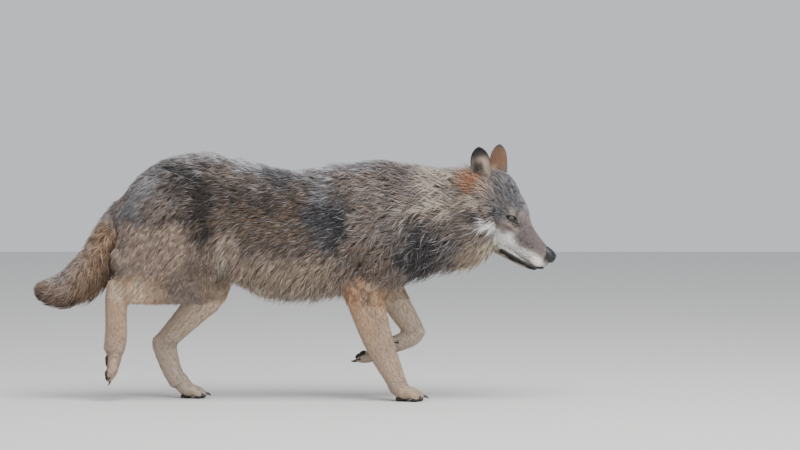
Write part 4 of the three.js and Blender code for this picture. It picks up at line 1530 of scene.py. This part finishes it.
# %% Tubes and balls
def tube(path, radii, sides=8, closed=False):
    """Points and triangles of a tube along a path, closed at its ends or joined into a ring."""
    path = np.array(path, float)
    forward = np.roll(path, -1, 0) - np.roll(path, 1, 0) if closed else np.gradient(path, axis=0)
    forward = unit(forward)
    across = unit(np.cross(forward, (0.13, 0.21, 0.97)))
    up = np.cross(across, forward)
    turn = np.linspace(0, 2 * math.pi, sides, endpoint=False)
    ring = np.cos(turn)[None, :, None] * across[:, None] + np.sin(turn)[None, :, None] * up[:, None]
    points = path[:, None] + ring * np.broadcast_to(radii, len(path))[:, None, None]
    number = np.arange(len(path) * sides).reshape(len(path), sides)
    low = number if closed else number[:-1]
    high = np.roll(number, -1, 0) if closed else number[1:]
    quads = np.stack([low, np.roll(low, -1, 1), np.roll(high, -1, 1), high], -1).reshape(-1, 4)
    triangles = triangles_of(quads)
    if closed:
        return points.reshape(-1, 3), triangles
    fans = []
    for k in range(sides):
        j = (k + 1) % sides
        fans += [(number[0, j], number[0, k], number.size), (number[-1, k], number[-1, j], number.size + 1)]
    return np.concatenate([points.reshape(-1, 3), path[[0, -1]]]), np.concatenate([triangles, fans])


def joined(pieces):
    """Several lots of points and triangles as one."""
    points, triangles, start = [], [], 0
    for piece_points, piece_triangles in pieces:
        points.append(piece_points)
        triangles.append(piece_triangles + start)
        start += len(piece_points)
    return np.concatenate(points), np.concatenate(triangles)


def mirrored(points, triangles):
    return points * (1, -1, 1), triangles[:, ::-1]


def simple_material(name, colour, roughness, coat=0.0, bump=0.0, bump_scale=900.0):
    material, tree, shader = new_material(name)
    shader.inputs["Base Color"].default_value = (*linear(colour), 1)
    shader.inputs["Roughness"].default_value = roughness
    shader.inputs["Coat Weight"].default_value = coat
    shader.inputs["Coat Roughness"].default_value = 0.05
    if bump:
        node = tree.nodes.new("ShaderNodeBump")
        node.inputs["Strength"].default_value = bump
        node.inputs["Distance"].default_value = 0.0006
        tree.links.new(noise_node(tree, bump_scale, 2.0), node.inputs["Height"])
        tree.links.new(node.outputs["Normal"], shader.inputs["Normal"])
    return material


def finish_piece(name, points, triangles, material, replaces=()):
    """A piece from points in the tables' frame."""
    mesh = build_mesh(name, to_frame(points), triangles)
    mesh.materials.append(material)
    made = show(name, mesh)
    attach(made, "root")
    if replaces:
        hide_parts(*replaces)
    return made


# %% Eyeballs
BALL = 14.4
CORNEA = 0.8
EYE_BANDS = [  # degrees from the line of sight, colour
    (0, (0.01, 0.01, 0.012)), (13, (0.01, 0.01, 0.012)), (14.5, (0.17, 0.155, 0.11)), (18, (0.32, 0.305, 0.235)),
    (25, (0.30, 0.28, 0.205)), (33, (0.17, 0.15, 0.11)), (37, (0.06, 0.05, 0.045)), (44, (0.05, 0.04, 0.04)),
    (52, (0.24, 0.17, 0.14)), (180, (0.30, 0.20, 0.17)),
]
eye_material, eye_tree, eye_shader = new_material("wet_eye")
eye_paint = eye_tree.nodes.new("ShaderNodeAttribute")
eye_paint.attribute_name = "markings"
eye_tree.links.new(eye_paint.outputs["Color"], eye_shader.inputs["Base Color"])
eye_shader.inputs["Roughness"].default_value = 0.15
eye_shader.inputs["Coat Weight"].default_value = 0.6
eye_shader.inputs["Coat Roughness"].default_value = 0.02
for name, side in (("eye_right", -1), ("eye_left", 1)):
    gaze = GAZE * (1, side, 1)
    at = EYE_AT * (1, side, 1)
    degrees = np.concatenate([np.arange(2, 60, 1.5), np.arange(60, 178, 6)])
    far = np.cos(np.radians(degrees))
    bulge = BALL + CORNEA * np.exp(-((degrees / 30) ** 2))
    path = at + gaze * (far * bulge)[:, None]
    points, triangles = tube(path, np.sin(np.radians(degrees)) * bulge, 48)
    if np.dot(np.cross(points[1] - points[0], points[48] - points[0]), points[0] - at) < 0:
        triangles = triangles[:, ::-1]
    points[-2] = at + gaze * (BALL + CORNEA)
    points[-1] = at - gaze * BALL
    offset = unit(points - at)
    turned = np.degrees(np.arccos(np.clip(offset @ gaze, -1, 1)))
    bands = np.array([band[0] for band in EYE_BANDS])
    paint = linear(np.array([band[1] for band in EYE_BANDS]))
    colours = np.stack([np.interp(turned, bands, paint[:, k]) for k in range(3)], 1)
    rays = ripple(offset - gaze * (offset @ gaze)[:, None], 0.16, 91) * ((turned > 15) & (turned < 36))
    made = finish_piece(name.replace("eye", "eyeball"), out_of(points, HEAD), triangles, eye_material, (name,))
    set_markings(made.data, colours * (1 + 0.2 * rays)[:, None].clip(0.4, 1.6))

# %% Lids and lips
def skin_depth_along(places, direction, start, stop, step=0.4):
    """How far along the direction each place first meets the skin."""
    steps = np.arange(start, stop, -step)
    cloud = places[:, None] + direction * steps[None, :, None]
    skin = body_field(out_of(cloud.reshape(-1, 3), HEAD), HEAD_PARTS).reshape(len(places), -1)
    return steps[(skin < 0).argmax(1)]


LID_MARGIN = 2.1
turn = np.linspace(0, 2 * math.pi, 72, endpoint=False)
open_a = EYE_WIDTH * np.cos(turn)
open_b = np.sign(np.sin(turn)) * almond(open_a)
flat = EYE_AT + EYE_ALONG * open_a[:, None] + EYE_UP * open_b[:, None]
beyond = EYE_AT + EYE_ALONG * open_a[:, None] * 1.08 + EYE_UP * (open_b + np.sign(open_b) * 1.6)[:, None]
front = skin_depth_along(beyond, GAZE, 24, 0)
for _ in range(3):
    front = (np.roll(front, 1) + 2 * front + np.roll(front, -1)) / 4
ring = flat + GAZE * (front - 0.5)[:, None]
lid = tube(ring, LID_MARGIN, 8, closed=True)
MOUTH_RADIUS = np.interp(np.linspace(0, 1, len(MOUTH)), [0, 0.1, 0.6, 1], [1.5, 4.2, 3.6, 2.2])
lip = tube(MOUTH, MOUTH_RADIUS, 8)
bare_points, bare_triangles = joined([lid, mirrored(*lid), lip, mirrored(*lip)])
bare_skin = simple_material("dark_bare_skin", (0.022, 0.02, 0.021), 0.5, 0.05)
finish_piece("lids_and_lips", out_of(bare_points, HEAD), bare_triangles, bare_skin)
print("lids and lips", len(bare_triangles), "triangles")

# %% [markdown]
# ## The nose
#
# The nose leather is a short block with rounded edges. Each nostril is a round pit that runs back in a
# curved slit, and a groove divides the front. It is small and sharp in form, so it gets its own fine net.

# %% Nose
NOSE = through([
    (136, -25, -72, -48, 20, 0),
    (148, -26.5, -71, -47, 22, 0),
    (160, -29, -68, -47, 20.5, 0),
    (169, -34, -62, -47.5, 15.5, 0),
])
NO_COAT = np.array([(136, 0, 0, 0), (169, 0, 0, 0)], float)


def nose_field(p):
    q = p * (1, 1, 1)
    q[:, 1] = np.abs(q[:, 1])
    f = upright_form(q, NOSE, NO_COAT, 2.5, (4, 5))[0]
    f = -smooth_union(-f, egg(q, (171, 8.6, -46.5), (8, 4.0, 4.4)), 1.5)
    f = -smooth_union(-f, capsule(q, (170, 10.5, -49.5), (158, 19, -53), 1.5), 1.5)
    return -smooth_union(-f, capsule(q, (175, 0, -45), (171, 0, -68), 1.1), 1.5)


points, quads = surface_net(nose_field, (130, -26, -80), (178, 26, -18), 0.95)
nose_leather = simple_material("nose_leather", (0.075, 0.08, 0.09), 0.45, 0.12, 0.8, 1100.0)
finish_piece("nose_pad", out_of(points, HEAD), triangles_of(quads), nose_leather, ("nose",))
print("nose", 2 * len(quads), "triangles")

# %% [markdown]
# ## Claws and pads
#
# A wolf walks on its toes. Each foot has four toe pads, a heart-shaped main pad and four blunt dark claws
# that can't be drawn in, and each fore leg has a dewclaw inside. They repeat, so Geometry Nodes put one
# claw, or one pad, on each of a handful of points. Each point carries its own turn and size.

# %% Repeating with Geometry Nodes
def repeat(name, piece, places, turns, sizes, material, slot):
    """One copy of piece at each place in the frame, turned and sized, made real and joined."""
    tree = bpy.data.node_groups.new(name + "_nodes", "GeometryNodeTree")
    tree.interface.new_socket("Geometry", in_out="INPUT", socket_type="NodeSocketGeometry")
    piece_socket = tree.interface.new_socket("Piece", in_out="INPUT", socket_type="NodeSocketObject")
    tree.interface.new_socket("Geometry", in_out="OUTPUT", socket_type="NodeSocketGeometry")
    start, end = tree.nodes.new("NodeGroupInput"), tree.nodes.new("NodeGroupOutput")
    info = tree.nodes.new("GeometryNodeObjectInfo")
    copies = tree.nodes.new("GeometryNodeInstanceOnPoints")
    real = tree.nodes.new("GeometryNodeRealizeInstances")
    paint = tree.nodes.new("GeometryNodeSetMaterial")
    paint.inputs["Material"].default_value = material
    turn_node = tree.nodes.new("FunctionNodeEulerToRotation")
    read = {}
    for key in ("turn", "size"):
        read[key] = tree.nodes.new("GeometryNodeInputNamedAttribute")
        read[key].data_type = "FLOAT_VECTOR"
        read[key].inputs["Name"].default_value = key
    link = tree.links.new
    link(start.outputs["Geometry"], copies.inputs["Points"])
    link(start.outputs["Piece"], info.inputs["Object"])
    link(info.outputs["Geometry"], copies.inputs["Instance"])
    link(read["turn"].outputs["Attribute"], turn_node.inputs["Euler"])
    link(turn_node.outputs["Rotation"], copies.inputs["Rotation"])
    link(read["size"].outputs["Attribute"], copies.inputs["Scale"])
    link(copies.outputs["Instances"], real.inputs["Geometry"])
    link(real.outputs["Geometry"], paint.inputs["Geometry"])
    link(paint.outputs["Geometry"], end.inputs["Geometry"])
    spots = bpy.data.meshes.new(name + "_spots")
    spots.from_pydata([tuple(p) for p in places], [], [])
    for key, values in (("turn", turns), ("size", sizes)):
        spots.attributes.new(key, "FLOAT_VECTOR", "POINT").data.foreach_set("vector", np.ravel(values).astype(np.float32))
    carrier = show(name + "_carrier", spots)
    original = show(name + "_original", piece)
    modifier = carrier.modifiers.new("copies", "NODES")
    modifier.node_group = tree
    modifier[piece_socket.identifier] = original
    bpy.context.view_layer.update()
    evaluated = carrier.evaluated_get(bpy.context.evaluated_depsgraph_get())
    mesh = bpy.data.meshes.new_from_object(evaluated)
    mesh.name = name
    carrier.modifiers.remove(modifier)
    for helper in (carrier, original):
        bpy.data.objects.remove(helper)
    made = show(name, mesh)
    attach(made, "root")
    mesh.calc_loop_triangles()
    print(name, len(places), "copies,", len(mesh.loop_triangles), "triangles")
    return made


def euler_of(turn):
    """A rotation matrix as x, y, z angles."""
    return (math.atan2(turn[2, 1], turn[2, 2]), -math.asin(max(-1, min(1, turn[2, 0]))), math.atan2(turn[1, 0], turn[0, 0]))


# %% Claws and pads
CLAW_LENGTH, CLAW_RADIUS = 19.0, 3.7
share = np.linspace(0, 1, 9)
claw_path = np.stack([CLAW_LENGTH * share, 0 * share, 1.5 * share - 9.0 * share ** 2], 1)
claw_points, claw_triangles = tube(claw_path, CLAW_RADIUS * (1 - share ** 1.6) + 0.35, 10)
claw_mesh = build_mesh("claw", claw_points * (1, 0.72, 1) * MM, claw_triangles)
turn = np.linspace(0.08, math.pi - 0.08, 14)
ball_path = np.stack([np.cos(turn), 0 * turn, 0 * turn], 1)
ball_points, ball_triangles = tube(ball_path, np.sin(turn), 20)
centre = ball_points.mean(0)
if np.dot(np.cross(ball_points[1] - ball_points[0], ball_points[20] - ball_points[0]), ball_points[0] - centre) < 0:
    ball_triangles = ball_triangles[:, ::-1]
pad_mesh = build_mesh("pad", ball_points * MM, ball_triangles)
claws, pads = [], []
for name, place in PAWS.items():
    size = place["scale"]
    angles = euler_of(place["turn"])
    for y, reach in TOE_ROWS:
        base = out_of(np.array([reach * 1.04 + 5, y * 1.09, 15.5]), place)
        claws.append((to_frame(base), angles, (size,) * 3))
        toe = out_of(np.array([reach * 0.95, y * 1.06, 6.4]), place)
        pads.append((to_frame(toe), angles, (11.5 * size, 8.0 * size, 6.2 * size)))
    palm = out_of(np.array([2.0, 0, 7.4]), place)
    pads.append((to_frame(palm), angles, (17 * size, 21 * size, 7.2 * size)))
    for y in (-12, 12):
        lobe = out_of(np.array([-9.0, y, 6.6]), place)
        pads.append((to_frame(lobe), angles, (11 * size, 9.5 * size, 6.4 * size)))
for base, down in (((290, -35, 94), 60), ((322, 35, 170), 165)):  # the dewclaws, inside the fore legs
    claws.append((to_frame(base), euler_of(turn_y(down)), (0.85,) * 3))
claw_horn = simple_material("claw_horn", (0.17, 0.15, 0.14), 0.35, 0.3)
pad_skin = simple_material("pad_skin", (0.14, 0.13, 0.13), 0.7, 0.0, 1.0, 600.0)
repeat("claws", claw_mesh, *zip(*claws), claw_horn, "nose_leather")
repeat("pads", pad_mesh, *zip(*pads), pad_skin, "nose_leather")

# %% [markdown]
# ## Whiskers
#
# Four rows of stiff dark whiskers grow from the upper lip, curving back and down, with a few over the eye.

# %% Whiskers
rng = np.random.default_rng(58)
hairs = []
for row, (z, first, last) in enumerate(((-62, 98, 134), (-70, 92, 138), (-78, 88, 138), (-86, 96, 132))):
    for x in np.linspace(first, last, 5):
        spot = np.array([[x + rng.uniform(-2, 2), 0, z + rng.uniform(-1.5, 1.5)]])
        y = skin_depth_along(spot, np.array([0, 1.0, 0]), 60, 5)[0]
        grow = unit(np.array([-0.45, 0.8, -0.12 * row - 0.05]) + rng.normal(0, 0.08, 3))
        long = rng.uniform(28, 58) * (1.15 - (x - 88) / 110)
        s = np.linspace(0, 1, 9)[:, None]
        path = spot[0] + (0, y - 1, 0) + grow * long * s + np.array([-0.5, -0.25, -0.35]) * long * 0.5 * s ** 2
        hairs.append(tube(path, 0.38 * (1 - s[:, 0] * 0.8), 5))
for x, z in ((-6, 20), (0, 22), (6, 24)):
    spot = np.array([[x, 0, z]], float)
    y = skin_depth_along(spot, np.array([0, 1.0, 0]), 70, 5)[0]
    s = np.linspace(0, 1, 9)[:, None]
    path = spot[0] + (0, y - 1, 0) + unit(np.array([-0.1, 0.6, 0.7])) * 26 * s + np.array([-9, 3, -2]) * s ** 2
    hairs.append(tube(path, 0.32 * (1 - s[:, 0] * 0.8), 5))
whisker_points, whisker_triangles = joined(hairs + [mirrored(*hair) for hair in hairs])
whisker = simple_material("whisker", (0.12, 0.11, 0.11), 0.35)
finish_piece("whiskers", out_of(whisker_points, HEAD), whisker_triangles, whisker)
print("whiskers", len(whisker_triangles), "triangles")

# %% Floor
floor_mesh = build_mesh(
    "floor", np.array([(-7, -5, 0), (7, -5, 0), (7, 9, 0), (-7, 9, 0)], float), np.array([[0, 1, 2, 3]]), False
)
floor_material, _, floor_shader = new_material("pale_floor")
floor_shader.inputs["Base Color"].default_value = (0.62, 0.61, 0.59, 1)
floor_shader.inputs["Roughness"].default_value = 0.9
floor_mesh.materials.append(floor_material)
floor = show("floor", floor_mesh)

# %% Finish
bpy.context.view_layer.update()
print("whole scene made in", round(time.time() - started, 1), "s")
